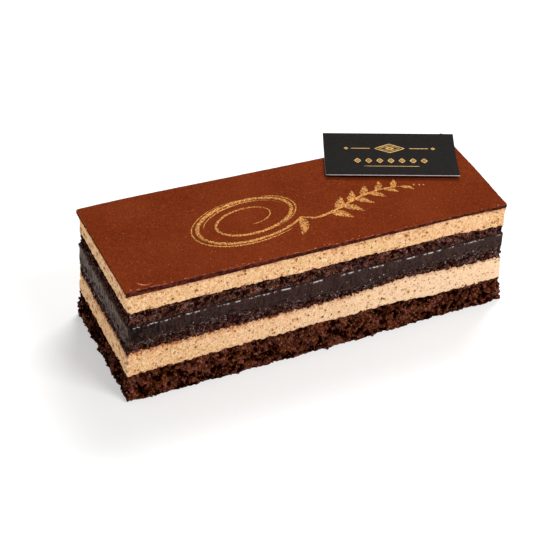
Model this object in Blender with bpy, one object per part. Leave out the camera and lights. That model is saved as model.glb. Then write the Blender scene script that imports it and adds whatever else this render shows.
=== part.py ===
"""One portion of opera cake: three sponges, two coffee creams, a ganache, a glaze and a small card on top.

The cake is a bar cut from a larger sheet. Its layers run from end to end, so each layer is one closed solid
between two seams. The origin is the middle of the base, +X runs along the bar, and -Y is the front face.
Units are metres.
"""

from collections.abc import Callable
from dataclasses import dataclass
from math import cos, exp, pi, radians, sin

import bmesh
import bpy
from mathutils import Vector, noise

MM = 0.001

# The bar as it was cut.
LENGTH = 120 * MM
WIDTH = 43 * MM
HEIGHT = 36.9 * MM
CORNER_RADIUS = 0.8 * MM

# The knife sank and leaned: the top falls to the right and to the front, and the walls lean.
TOP_FALL_RIGHT = 0.45 * MM
TOP_RISE_BACK = 0.15 * MM
END_FLARE = 1.35 * MM
FRONT_FLARE_LEFT = 1.2 * MM
FRONT_FLARE_RIGHT = -1.4 * MM

# Fineness of the solids.
STATION_SPACING = 3 * MM
CORNER_STEPS = 2

# Clear space between two layers, half on each side of their seam.
SEAM_GAP = 0.3 * MM

# Lumps on a cut side are a little wider than they are high.
LUMP_SQUASH = 1.5

# The card that lies on the glaze and sticks out over the back edge.
CARD_LENGTH = 40.2 * MM
CARD_DEPTH = 21.6 * MM
CARD_THICKNESS = 0.6 * MM
CARD_MIDDLE = (38.6 * MM, 14.6 * MM)
CARD_TURN = radians(-22.5)
CARD_CURL = 1.1 * MM
CARD_CELLS = (12, 6)

HALF_LENGTH = LENGTH / 2
HALF_WIDTH = WIDTH / 2
SPINE_REACH = HALF_LENGTH - HALF_WIDTH


def own_pattern(height: float) -> Vector:
    """A shift in the noise that gives each height in the cake a pattern of its own."""
    return Vector((0, 0, height / MM))


@dataclass(frozen=True)
class Swell:
    """A soft hump or dip in a seam, at one place along the bar."""

    at: float
    gain: float
    reach: float

    def height(self, x: float) -> float:
        return self.gain * exp(-(((x - self.at) / self.reach) ** 2))


@dataclass(frozen=True)
class Seam:
    """The boundary between two layers: its height at mid length, its rise to the right end, its swells."""

    middle: float
    rise: float = 0.0
    swells: tuple[Swell, ...] = ()
    unevenness: float = 0.3 * MM
    wavelength: float = 14 * MM

    def smooth(self, x: float) -> float:
        return self.middle + self.rise * x / HALF_LENGTH + sum(swell.height(x) for swell in self.swells)

    def at(self, x: float, y: float) -> float:
        """The height where the seam comes out at the cut side, with the unevenness of a spread layer."""
        place = Vector((x, y, 0)) / self.wavelength + own_pattern(self.middle)
        return self.smooth(x) + self.unevenness * noise.noise(place)


@dataclass(frozen=True)
class TopPlane:
    """The top of the glaze: a plane that falls a little to the right and to the front."""

    middle: float

    def smooth(self, x: float) -> float:
        return self.at(x, 0.0)

    def at(self, x: float, y: float) -> float:
        return self.middle - TOP_FALL_RIGHT * x / HALF_LENGTH + TOP_RISE_BACK * y / HALF_WIDTH


@dataclass(frozen=True)
class Layer:
    """One layer and how its cut side looks.

    stands_out is how far the side is from the knife's plane, lip is how much further its top edge stands
    out, crumb is the depth of its lumps and hollows, and grain is their size.
    """

    name: str
    srgb: tuple[int, int, int]
    roughness: float
    stands_out: float
    lip: float
    crumb: float
    grain: float
    rows: int


Boundary = Seam | TopPlane

BASE = Seam(0.0, unevenness=0.0)
TOP = TopPlane(HEIGHT)
SEAMS = (
    BASE,
    Seam(9.0 * MM, rise=0.6 * MM, swells=(Swell(22 * MM, 0.6 * MM, 17 * MM),)),
    Seam(16.8 * MM, rise=0.75 * MM, swells=(Swell(29 * MM, 1.3 * MM, 12 * MM),)),
    Seam(
        20.3 * MM,
        rise=0.2 * MM,
        swells=(Swell(-30 * MM, 1.2 * MM, 14 * MM), Swell(10 * MM, -1.0 * MM, 10 * MM)),
    ),
    Seam(25.3 * MM, rise=0.1 * MM, swells=(Swell(-60 * MM, -0.5 * MM, 12 * MM),)),
    Seam(29.7 * MM, rise=-0.15 * MM),
    Seam(35.55 * MM, rise=0.05 * MM, unevenness=0.1 * MM),
    TOP,
)

LAYERS = (
    Layer("sponge_bottom", (74, 40, 25), 0.9, 0.0, 0.0, 0.75 * MM, 4.5 * MM, 5),
    Layer("cream_lower", (226, 190, 142), 0.55, 0.0, 0.0, 0.2 * MM, 6 * MM, 3),
    Layer("sponge_middle", (50, 30, 23), 0.85, -0.1 * MM, 0.0, 0.45 * MM, 4.5 * MM, 3),
    Layer("ganache", (52, 36, 32), 0.25, 0.15 * MM, 0.25 * MM, 0.15 * MM, 9 * MM, 3),
    Layer("sponge_upper", (50, 30, 23), 0.85, -0.1 * MM, 0.0, 0.45 * MM, 4.5 * MM, 3),
    Layer("cream_upper", (230, 194, 146), 0.55, 0.0, 0.0, 0.2 * MM, 6 * MM, 3),
    Layer("glaze", (128, 52, 26), 0.6, 0.25 * MM, -0.3 * MM, 0.1 * MM, 9 * MM, 2),
)
CARD_SRGB = (40, 38, 36)
CARD_ROUGHNESS = 0.45


def linear(srgb: tuple[int, int, int]) -> tuple[float, float, float, float]:
    """The colour that a shader socket takes for an 8-bit sRGB colour."""
    shares = [value / 255 for value in srgb]
    return (*[s / 12.92 if s <= 0.04045 else ((s + 0.055) / 1.055) ** 2.4 for s in shares], 1.0)


def material(name: str, srgb: tuple[int, int, int], roughness: float) -> bpy.types.Material:
    made = bpy.data.materials.new(name)
    made.use_nodes = True
    shader = made.node_tree.nodes["Principled BSDF"]
    shader.inputs["Base Color"].default_value = linear(srgb)
    shader.inputs["Roughness"].default_value = roughness
    shader.inputs["Metallic"].default_value = 0.0
    return made


def spaced(start: float, end: float) -> list[float]:
    """Even steps from start to end, about one station spacing apart, with both ends."""
    steps = round(abs(end - start) / STATION_SPACING)
    return [start + (end - start) * step / steps for step in range(steps + 1)]


def stations() -> list[tuple[Vector, Vector]]:
    """The places round the bar, counter-clockwise from above, each with its outward direction.

    The outline is a rectangle with rounded corners: four straight runs, each followed by a quarter circle.
    """
    run_x = HALF_LENGTH - CORNER_RADIUS
    run_y = HALF_WIDTH - CORNER_RADIUS
    sides = (
        ([Vector((x, -HALF_WIDTH)) for x in spaced(-run_x, run_x)], Vector((run_x, -run_y))),
        ([Vector((HALF_LENGTH, y)) for y in spaced(-run_y, run_y)], Vector((run_x, run_y))),
        ([Vector((x, HALF_WIDTH)) for x in spaced(run_x, -run_x)], Vector((-run_x, run_y))),
        ([Vector((-HALF_LENGTH, y)) for y in spaced(run_y, -run_y)], Vector((-run_x, -run_y))),
    )
    found = []
    for quarter, (run, corner) in enumerate(sides):
        facing = (quarter - 1) * pi / 2
        found += [(place, Vector((cos(facing), sin(facing)))) for place in run]
        for step in range(1, CORNER_STEPS):
            angle = facing + pi / 2 * step / CORNER_STEPS
            outward = Vector((cos(angle), sin(angle)))
            found.append((corner + CORNER_RADIUS * outward, outward))
    return found


def leaned(x: float, y: float, z: float) -> Vector:
    """Where a point of an upright bar goes once the ends flare and the front leans, most at the base."""
    down = 1 - z / HEIGHT
    along = x / HALF_LENGTH
    front = 0.5 - y / WIDTH
    front_flare = FRONT_FLARE_LEFT + (FRONT_FLARE_RIGHT - FRONT_FLARE_LEFT) * (along + 1) / 2
    return Vector((x + down * END_FLARE * along, y - down * front * front_flare, z))


def clearance(boundary: Boundary) -> float:
    """How far a layer keeps from the boundary: half the gap at a seam, and nothing at the base and the top."""
    return 0.0 if boundary is BASE or boundary is TOP else SEAM_GAP / 2


def wall_point(
    layer: Layer, low: Boundary, high: Boundary, place: Vector, outward: Vector, share: float
) -> Vector:
    """A point of a layer's side, at a share of the way from its lower seam to its upper one."""
    bottom = low.at(*place) + clearance(low)
    top = high.at(*place) - clearance(high)
    z = bottom + (top - bottom) * share
    spot_in_noise = Vector((place.x, place.y, z * LUMP_SQUASH)) / layer.grain
    relief = noise.noise(spot_in_noise + own_pattern(low.smooth(0.0)))
    out = layer.stands_out + layer.lip * share**2 + layer.crumb * relief
    spot = place + outward * out
    return leaned(spot.x, spot.y, z)


def close_cap(
    bm: bmesh.types.BMesh, ring: list, heights: Callable[[float], float], upward: bool
) -> None:
    """Closes one end of a layer with a surface between its rim and a spine along the middle of the bar.

    Each rim edge joins the spine point nearest to it, so both layers at a seam are divided alike and
    can't cross.
    """
    spine = {}

    def spine_vertex(place: Vector):
        x = max(-SPINE_REACH, min(SPINE_REACH, place.x))
        key = round(x / MM, 3)
        if key not in spine:
            spine[key] = bm.verts.new(leaned(x, 0.0, heights(x)))
        return spine[key]

    places = [place for place, _ in stations()]
    for index, place in enumerate(places):
        after = (index + 1) % len(places)
        here, there = spine_vertex(place), spine_vertex(places[after])
        faces = [(ring[index], ring[after], there)]
        if here is not there:
            faces.append((ring[index], there, here))
        for face in faces:
            bm.faces.new(face if upward else face[::-1])


def build_layer(layer: Layer, low: Boundary, high: Boundary) -> bpy.types.Object:
    """A layer's solid: rings of stations from the lower seam to the upper one, bridged, and two caps."""
    bm = bmesh.new()
    rings = []
    for row in range(layer.rows + 1):
        share = row / layer.rows
        points = [wall_point(layer, low, high, place, outward, share) for place, outward in stations()]
        rings.append([bm.verts.new(point) for point in points])
    count = len(rings[0])
    for below, above in zip(rings, rings[1:]):
        for index in range(count):
            after = (index + 1) % count
            bm.faces.new((below[index], below[after], above[after], above[index]))
    close_cap(bm, rings[0], lambda x: low.smooth(x) + clearance(low), upward=False)
    close_cap(bm, rings[-1], lambda x: high.smooth(x) - clearance(high), upward=True)
    return finished(layer.name, bm, material(layer.name, layer.srgb, layer.roughness))


def build_card() -> bpy.types.Object:
    """The card: a thin sheet on the slope of the glaze, whose far edge curls up a little."""
    cells_long, cells_deep = CARD_CELLS
    bm = bmesh.new()
    sides = {}
    for lift in (0.0, CARD_THICKNESS):
        for i in range(cells_long + 1):
            for j in range(cells_deep + 1):
                u = CARD_LENGTH * (i / cells_long - 0.5)
                v = CARD_DEPTH * (j / cells_deep - 0.5)
                x = CARD_MIDDLE[0] + u * cos(CARD_TURN) - v * sin(CARD_TURN)
                y = CARD_MIDDLE[1] + u * sin(CARD_TURN) + v * cos(CARD_TURN)
                curl = CARD_CURL * (j / cells_deep) ** 2
                sides[lift > 0, i, j] = bm.verts.new((x, y, TOP.at(x, y) + SEAM_GAP + curl + lift))
    for i in range(cells_long):
        for j in range(cells_deep):
            square = ((i, j), (i + 1, j), (i + 1, j + 1), (i, j + 1))
            bm.faces.new([sides[True, *corner] for corner in square])
            bm.faces.new([sides[False, *corner] for corner in reversed(square)])
    rim = [(i, 0) for i in range(cells_long)]
    rim += [(cells_long, j) for j in range(cells_deep)]
    rim += [(i, cells_deep) for i in range(cells_long, 0, -1)]
    rim += [(0, j) for j in range(cells_deep, 0, -1)]
    for here, there in zip(rim, rim[1:] + rim[:1]):
        edge = (sides[False, *here], sides[False, *there], sides[True, *there], sides[True, *here])
        bm.faces.new(edge)
    return finished("topper_card", bm, material("topper_card", CARD_SRGB, CARD_ROUGHNESS))


def finished(name: str, bm: bmesh.types.BMesh, coat: bpy.types.Material) -> bpy.types.Object:
    """Turns the mesh into a shaded object in the scene."""
    mesh = bpy.data.meshes.new(name)
    bm.to_mesh(mesh)
    bm.free()
    mesh.materials.append(coat)
    mesh.shade_smooth()
    mesh.set_sharp_from_angle(angle=radians(40))
    made = bpy.data.objects.new(name, mesh)
    bpy.context.scene.collection.objects.link(made)
    return made


def build_cake() -> None:
    """Clears the scene, builds the layers from the base up, lays the card on, and parents all to one empty."""
    for old in list(bpy.data.objects):
        bpy.data.objects.remove(old, do_unlink=True)
    cake = bpy.data.objects.new("opera_cake", None)
    bpy.context.scene.collection.objects.link(cake)
    pieces = [build_layer(layer, low, high) for layer, low, high in zip(LAYERS, SEAMS, SEAMS[1:])]
    for piece in (*pieces, build_card()):
        piece.parent = cake


build_cake()
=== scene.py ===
"""Looks of one portion of opera cake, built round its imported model.

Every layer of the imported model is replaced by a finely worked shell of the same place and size. Shapes
are worked out with numpy in millimetres, as functions on grids, and become metres when a mesh is made.
"""

import logging
from collections.abc import Callable, Sequence
from dataclasses import dataclass
from enum import Enum
from functools import cache
from itertools import product
from math import cos, pi, radians, sin

import bpy
import numpy as np
from mathutils import Matrix, Vector
from numpy.typing import NDArray


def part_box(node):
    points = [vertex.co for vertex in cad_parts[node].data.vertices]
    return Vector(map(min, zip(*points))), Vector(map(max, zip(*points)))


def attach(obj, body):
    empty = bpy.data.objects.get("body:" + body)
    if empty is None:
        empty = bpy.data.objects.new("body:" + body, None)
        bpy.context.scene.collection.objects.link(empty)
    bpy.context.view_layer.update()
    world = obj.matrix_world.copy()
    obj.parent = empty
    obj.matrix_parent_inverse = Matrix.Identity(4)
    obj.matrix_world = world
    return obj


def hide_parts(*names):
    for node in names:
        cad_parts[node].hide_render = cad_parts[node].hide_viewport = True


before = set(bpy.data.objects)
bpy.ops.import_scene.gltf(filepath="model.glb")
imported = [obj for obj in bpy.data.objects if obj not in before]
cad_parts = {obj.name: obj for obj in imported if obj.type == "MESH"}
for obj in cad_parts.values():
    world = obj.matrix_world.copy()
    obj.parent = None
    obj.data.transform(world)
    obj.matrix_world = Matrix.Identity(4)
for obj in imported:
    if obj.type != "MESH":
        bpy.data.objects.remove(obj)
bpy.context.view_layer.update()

# Arrays, colours, pairs of numbers, places with a value at each, numbers by name that a finish reads,
# an array with such numbers, and points with the faces between them.
Floats = NDArray[np.float64]
Whole = NDArray[np.int64]
Colour = tuple[float, float, float, float]
Pair = tuple[float, float]
Pairs = tuple[Pair, ...]
Graph = tuple[tuple[float, ...], tuple[float, ...]]
Values = dict[str, Floats]
Relief = tuple[Floats, Values]
Parts = tuple[Floats, list[Whole]]
Node = bpy.types.Node
Tree = bpy.types.NodeTree
Socket = bpy.types.NodeSocket
Piece = bpy.types.Object

log = logging.getLogger("opera_cake")

MM = 0.001
BODY = "root"

# How the knife left the bar, in millimetres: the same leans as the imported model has.
CORNER_RADIUS = 0.45
TOP_FALL_RIGHT = 0.45
TOP_RISE_BACK = 0.15
END_FLARE = 1.35
FRONT_FLARE_LEFT = 1.2
FRONT_FLARE_RIGHT = -1.4

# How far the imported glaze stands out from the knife's plane, and how far the knife dragged each seam up
# or down over the left end, from the lowest seam to the highest.
GLAZE_OVERHANG = 0.35
END_SMEARS = (0.5, -0.9, -1.8, 0.7, 0.1, 0.95)

# How far each seam drifts up or down along the bar: places along it, then rises, from the lowest seam.
STRAIGHT = ((0.0,), (0.0,))
SEAM_DRIFTS = (
    ((-60, -56, -30, -14, 2, 9, 22, 33, 60), (0.0, 0.35, 0.2, 0.35, 0.35, 0.0, -0.2, -1.0, -1.05)),
    ((-18, -5, 15, 25, 45, 60), (0.0, -0.85, -0.7, -0.95, -1.05, -1.15)),
    ((34, 42, 60), (0.0, 0.5, 0.6)),
    STRAIGHT,
    ((44, 57, 60), (0.0, -0.8, -1.0)),
    ((44, 57), (0.0, -0.35)),
)
# How far the bottom sponge spreads to the front at its foot, at some places along the bar.
FOOT_SPREAD = ((-60, 15, 30, 52, 60), (1.1, 1.1, 0.85, 0.8, 0.45))

# How far the ends are drawn in at some shares of the height: the left end towards its back and, less so,
# at its front corner, the right end towards its front. Then how far the back bows out along the bar.
LEFT_DRAW = ((0.1, 0.22, 0.35, 0.46, 0.9, 0.95, 0.985), (0.0, 0.5, 0.7, 1.0, 1.0, 0.8, 0.0))
LEFT_TUCK = ((0.28, 0.5, 0.72, 0.86, 0.96), (0.0, 0.9, 0.9, 0.6, 0.0))
RIGHT_DRAW = ((0.0, 0.12, 0.2, 0.4, 0.6, 0.85, 0.93, 1.0), (-0.25, 0.0, 0.6, 0.85, 1.05, 0.95, 0.6, 0.55))
BACK_BOW = (
    (-60, -52, -44, -32, -20, -8, 4, 20, 44, 60),
    (0.5, 0.8, 0.9, 0.78, 0.55, 0.32, 0.14, 0.0, 0.0, -0.5),
)

# The relief of the cut sides, in millimetres: the place of the left end, how far from a seam a side starts
# to turn in, the most that crumb stands out, and the distance between the large air holes of the cream.
LEFT_END = -60.0
EDGE_REACH = 0.4
MOST_OUT = 0.75
WIDE_CELL = 4.2

# The card: its turn, how high its far edge curls up, the share of its depth at which it rests on its
# belly, its thickness, and its clearance over the glaze. Lengths are in millimetres.
CARD_TURN = radians(-22.0)
CARD_CURL = 1.5
CARD_BELLY = 0.38
CARD_THICKNESS = 0.6
CARD_CLEARANCE = 0.16

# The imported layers, from the base up.
LAYER_NODES = (
    "sponge_bottom", "cream_lower", "sponge_middle", "ganache", "sponge_upper", "cream_upper", "glaze",
)


def srgb(red: int, green: int, blue: int) -> Colour:
    """A shader's colour for an 8-bit sRGB colour.

    Args:
        red: red, 0 to 255.
        green: green, 0 to 255.
        blue: blue, 0 to 255.

    Returns:
        The same colour in linear light, with full alpha.
    """
    shares = [value / 255 for value in (red, green, blue)]
    red, green, blue = [s / 12.92 if s <= 0.04045 else ((s + 0.055) / 1.055) ** 2.4 for s in shares]
    return red, green, blue, 1.0


def ease(low: float | Floats, high: float | Floats, value: Floats) -> Floats:
    """A smooth step from 0 at low to 1 at high: 3 t squared less 2 t cubed of the share t of the way.

    Args:
        low: where the step starts.
        high: where the step ends; it may be below low, for a step down.
        value: the numbers to place on the step.

    Returns:
        A number from 0 to 1 for each value.
    """
    share = np.clip((value - low) / (high - low), 0, 1)
    return share * share * (3 - 2 * share)


class Noise:
    """Noise in space, worked out for whole arrays of points at once."""

    @staticmethod
    def scattered(cells: Whole, seed: int) -> Floats:
        """Even random numbers for whole-number cells.

        The three coordinates are multiplied by large odd numbers and joined, then shifted and multiplied
        until nearby cells have nothing in common.

        Args:
            cells: whole coordinates, three to a cell.
            seed: a number that gives another set.

        Returns:
            A number from 0 to 1 for each cell.
        """
        mixed = cells.astype(np.uint32)
        number = mixed[..., 0] * np.uint32(374761393) ^ mixed[..., 1] * np.uint32(668265263)
        number = number ^ mixed[..., 2] * np.uint32(2246822519)
        number = number + np.uint32(seed * 3266489917 % 2**32)
        for shift in (15, 13, 16):
            number = (number ^ (number >> np.uint32(shift))) * np.uint32(2654435761)
        return (number ^ (number >> np.uint32(16))) / 2**32

    @classmethod
    def smooth(cls, points: Floats, seed: int = 0) -> Floats:
        """Gradient noise: each corner of a point's cell pulls along its own random direction.

        Args:
            points: places, in units of one cell.
            seed: a number that gives another pattern.

        Returns:
            A number from about -1 to 1 for each point.
        """
        base = np.floor(points).astype(np.int64)
        inside = points - base
        weight = inside**3 * (inside * (inside * 6 - 15) + 10)
        total = np.zeros(points.shape[:-1])
        for step in product((0, 1), repeat=3):
            corner = np.array(step)
            cell = base + corner
            pull = np.stack([cls.scattered(cell, seed + axis) for axis in range(3)], axis=-1) * 2 - 1
            share = np.prod(np.where(corner, weight, 1 - weight), axis=-1)
            total += share * np.sum(pull * (inside - corner), axis=-1)
        return total * 1.5

    @classmethod
    def fractal(cls, points: Floats, octaves: int, seed: int = 0) -> Floats:
        """Gradient noise with finer noise on it, each octave half as large and half as deep.

        Args:
            points: places, in units of the largest cell.
            octaves: how many sizes are added.
            seed: a number that gives another pattern.

        Returns:
            A number from about -1 to 1 for each point.
        """
        parts = [cls.smooth(points * 2**order, seed + 11 * order) / 2**order for order in range(octaves)]
        return sum(parts)

    @classmethod
    def cells(cls, points: Floats, seed: int = 0) -> tuple[Floats, Floats, Floats]:
        """Cellular noise: every cell holds one seed point, and each place belongs to the nearest.

        Args:
            points: places, in units of one cell.
            seed: a number that gives another pattern.

        Returns:
            The distance to the nearest seed point, the distance to the second nearest, and a random
            number from 0 to 1 that belongs to the nearest.
        """
        base = np.floor(points).astype(np.int64)
        first = np.full(points.shape[:-1], np.inf)
        second = first.copy()
        label = np.zeros(points.shape[:-1])
        for step in product((-1, 0, 1), repeat=3):
            cell = base + np.array(step)
            middle = cell + np.stack([cls.scattered(cell, seed + axis) for axis in range(3)], axis=-1)
            distance = np.linalg.norm(points - middle, axis=-1)
            closer = distance < first
            second = np.where(closer, first, np.minimum(second, distance))
            label = np.where(closer, cls.scattered(cell, seed + 7), label)
            first = np.where(closer, distance, first)
        return first, second, label


@dataclass(frozen=True)
class Spots:
    """Places on the outline of the bar, in millimetres.

    walked is the distance round the outline, place the plan position, and outward the plan direction
    that points out of the bar there.
    """

    walked: Floats
    place: Floats
    outward: Floats

    def rows(self) -> "Spots":
        """The same spots with a first axis of one, so that they spread over the rows of a grid."""
        return Spots(self.walked[None], self.place[None], self.outward[None])


@dataclass(frozen=True)
class Outline:
    """A rectangle with rounded corners, walked counter-clockwise from the left end of the front."""

    half_length: float
    half_width: float
    radius: float = CORNER_RADIUS

    @property
    def runs(self) -> tuple[float, float]:
        """Lengths of the straight runs along the front and along an end."""
        return 2 * (self.half_length - self.radius), 2 * (self.half_width - self.radius)

    @property
    def starts(self) -> Floats:
        """The distance walked at the start of each stretch, a run and a corner in turn, and at the end."""
        corner = self.radius * pi / 2
        long, short = self.runs
        return np.cumsum([0, long, corner, short, corner, long, corner, short, corner])

    def spots(self, walked: Floats) -> Spots:
        """Where one gets after walking some distances round the outline.

        Side j faces the angle (j - 1) quarter turns. A run goes straight at right angles to that, and
        the corner after it turns about the corner's middle.

        Args:
            walked: distances in millimetres, of any shape.

        Returns:
            The spots, with the same shape.
        """
        starts = self.starts
        walked = np.mod(walked, starts[-1])
        stretch = np.clip(np.searchsorted(starts, walked, side="right") - 1, 0, 7)
        side, rounding = np.divmod(stretch, 2)
        gone = walked - starts[stretch]
        facing = (side - 1) * pi / 2 + np.where(rounding, gone / self.radius, 0)
        outward = np.stack([np.cos(facing), np.sin(facing)], axis=-1)
        along = np.stack([-outward[..., 1], outward[..., 0]], axis=-1)
        inner = np.array([self.half_length - self.radius, self.half_width - self.radius])
        corners = inner * np.array([(1, -1), (1, 1), (-1, 1), (-1, -1)])
        middle = corners[np.where(rounding, side, side - 1)]
        straight = np.where(rounding, 0, gone)[..., None]
        return Spots(walked, middle + self.radius * outward + straight * along, outward)

    def walk(self, spacing: float) -> Spots:
        """Spots all the way round, the same on the front as on the back.

        Args:
            spacing: the wanted distance between spots.

        Returns:
            One spot for each station of a closed ring.
        """
        starts = self.starts
        parts = []
        for start, end in zip(starts, starts[1:]):
            steps = max(3, round((end - start) / spacing))
            parts.append(start + (end - start) * np.arange(steps) / steps)
        return self.spots(np.concatenate(parts))

    def walked_at(self, place: Floats) -> Floats:
        """The distance walked to the point of the outline next to each place, ignoring the rounding.

        Args:
            place: plan positions near the outline.

        Returns:
            Distances in millimetres.
        """
        x, y = place[..., 0], place[..., 1]
        starts = self.starts
        run_x, run_y = self.half_length - self.radius, self.half_width - self.radius
        on_long_side = np.abs(y) - self.half_width > np.abs(x) - self.half_length
        front = starts[0] + x + run_x
        back = starts[4] + run_x - x
        right = starts[2] + y + run_y
        left = starts[6] + run_y - y
        return np.where(on_long_side, np.where(y < 0, front, back), np.where(x > 0, right, left))


class Cut(Enum):
    """How the knife left the line between two layers: depth and length of its teeth, in millimetres."""

    CRUMBLY = (0.5, 1.4)
    SMEARED = (0.4, 2.6)
    CLEAN = (0.12, 3.0)


@dataclass(frozen=True)
class SeamLine:
    """The line between two layers round the bar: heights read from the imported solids, with finer teeth."""

    walked: Floats
    height: Floats
    period: float
    cut: Cut
    seed: int
    smear: float
    drift: Graph

    def at(self, spots: Spots) -> Floats:
        """The height of the line, in millimetres, at some spots.

        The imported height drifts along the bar, and gets fractal teeth, and at the left end the smear of
        what lies below.

        Args:
            spots: places on the outline.

        Returns:
            One height for each spot.
        """
        smooth = np.interp(spots.walked, self.walked, self.height, period=self.period)
        smooth = smooth + self.smear * ease(0.3, 0.8, -spots.outward[..., 0])
        smooth = smooth + np.interp(spots.place[..., 0], *self.drift)
        depth, length = self.cut.value
        level = np.full(spots.walked.shape + (1,), 3.7 * self.seed)
        points = np.concatenate([spots.place / length, level], axis=-1)
        return smooth + depth * Noise.fractal(points, 3, self.seed)


@dataclass(frozen=True)
class Bar:
    """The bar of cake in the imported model: its outline, its height, its top plane and its seams."""

    outline: Outline
    height: float
    seams: tuple[SeamLine, ...]

    @classmethod
    def from_frame(cls) -> "Bar":
        """Reads the bar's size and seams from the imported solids.

        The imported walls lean, so their points are first set upright. The lowest and highest point of each
        layer at each station of the outline then give the seams, half way between two layers.

        Returns:
            The bar, in millimetres.
        """
        low, high = (np.array(corner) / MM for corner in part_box("glaze"))
        half = (high - low)[:2] / 2 - GLAZE_OVERHANG
        outline = Outline(half[0], half[1])
        height = high[2] - TOP_FALL_RIGHT - TOP_RISE_BACK
        bare = cls(outline, height, ())
        edges = [bare.edges_of(node) for node in LAYER_NODES]
        period = outline.starts[-1]
        cuts = (Cut.CRUMBLY, Cut.CRUMBLY, Cut.SMEARED, Cut.CLEAN, Cut.CRUMBLY, Cut.CLEAN)
        seams = []
        for order, (cut, smear, drift) in enumerate(zip(cuts, END_SMEARS, SEAM_DRIFTS)):
            walked, _, top = edges[order]
            above, bottom, _ = edges[order + 1]
            middle = (top + np.interp(walked, above, bottom, period=period)) / 2
            seams.append(SeamLine(walked, middle, period, cut, order + 1, smear, drift))
        return cls(outline, height, tuple(seams))

    def edges_of(self, node: str) -> tuple[Floats, Floats, Floats]:
        """The lower and upper edge of a packed layer round the outline.

        Args:
            node: the layer's name.

        Returns:
            The distances walked to its stations, and its lowest and its highest point at each, in
            millimetres.
        """
        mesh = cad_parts[node].data
        flat = np.empty(len(mesh.vertices) * 3, np.float32)
        mesh.vertices.foreach_get("co", flat)
        points = self.upright(flat.reshape(-1, 3).astype(float) / MM)
        size = np.array([self.outline.half_length, self.outline.half_width])
        at_side = np.max(np.abs(points[:, :2]) - size, axis=-1) > -2
        walked = self.outline.walked_at(points[at_side, :2])
        station, member = np.unique(np.round(walked), return_inverse=True)
        lowest = np.full(len(station), np.inf)
        highest = np.full(len(station), -np.inf)
        np.minimum.at(lowest, member, points[at_side, 2])
        np.maximum.at(highest, member, points[at_side, 2])
        return station, lowest, highest

    def front_flare(self, x: Floats) -> Floats:
        """How far the front leans out at the base, for places along the bar."""
        share = (x / self.outline.half_length + 1) / 2
        return FRONT_FLARE_LEFT + (FRONT_FLARE_RIGHT - FRONT_FLARE_LEFT) * share

    def leaned(self, points: Floats) -> Floats:
        """Leans the walls of an upright bar, most at the base: the ends flare and the front twists.

        Args:
            points: points of the upright bar, in millimetres.

        Returns:
            The same points on the leaning bar.
        """
        x, y, z = np.moveaxis(points, -1, 0)
        down = 1 - z / self.height
        along = x / self.outline.half_length
        front = 0.5 - y / (2 * self.outline.half_width)
        flared = x + down * END_FLARE * along, y - down * front * self.front_flare(x), z
        return self.drawn_in(np.stack(flared, axis=-1))

    def drawn_in(self, points: Floats) -> Floats:
        """Draws in the left end towards its back and the right end towards its front, and bows the back.

        Args:
            points: points of the leaning bar, in millimetres.

        Returns:
            The same points on the bar as it was cut.
        """
        x, y, z = np.moveaxis(points, -1, 0)
        half_length, half_width = self.outline.half_length, self.outline.half_width
        up = z / self.height
        from_front = half_width + y
        ramp = 0.5 * ease(0.0, 5.0, from_front) + 0.5 * np.clip(from_front / (2 * half_width), 0, 1)
        left = np.interp(up, *LEFT_DRAW) * ramp + np.interp(up, *LEFT_TUCK) * ease(5.0, 0.0, from_front)
        left = left * ease(8.0 - half_length, 1.0 - half_length, x)
        corner = np.hypot(np.minimum(x - half_length, 0), 0.36 * from_front)
        right = np.interp(up, *RIGHT_DRAW) * ease(9.0, 0.0, corner)
        bow = np.interp(x, *BACK_BOW) * ease(0.0, half_width, y)
        return np.stack([x + left - right, y + bow, z], axis=-1)

    def upright(self, points: Floats) -> Floats:
        """Undoes the lean of the walls, by solving its two linear formulas for the upright place.

        Args:
            points: points of the leaning bar, in millimetres.

        Returns:
            The same points on the upright bar.
        """
        x, y, z = np.moveaxis(points, -1, 0)
        down = 1 - z / self.height
        x = x / (1 + down * END_FLARE / self.outline.half_length)
        pull = down * self.front_flare(x)
        y = (y + pull / 2) / (1 + pull / (2 * self.outline.half_width))
        return np.stack([x, y, z], axis=-1)

    def top_at(self, place: Floats) -> Floats:
        """The height of the glaze's top plane at plan positions."""
        along = place[..., 0] / self.outline.half_length
        across = place[..., 1] / self.outline.half_width
        return self.height - TOP_FALL_RIGHT * along + TOP_RISE_BACK * across

    def bounds_at(self, order: int, spots: Spots) -> tuple[Floats, Floats]:
        """The lower and the upper boundary of a layer, in millimetres.

        Args:
            order: the layer's place in the stack, from 0 at the base.
            spots: where to read them.

        Returns:
            Two heights for each spot.
        """
        low = self.seams[order - 1].at(spots) if order else np.zeros(spots.walked.shape)
        high = self.seams[order].at(spots) if order < len(self.seams) else self.top_at(spots.place)
        return low, high


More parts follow.
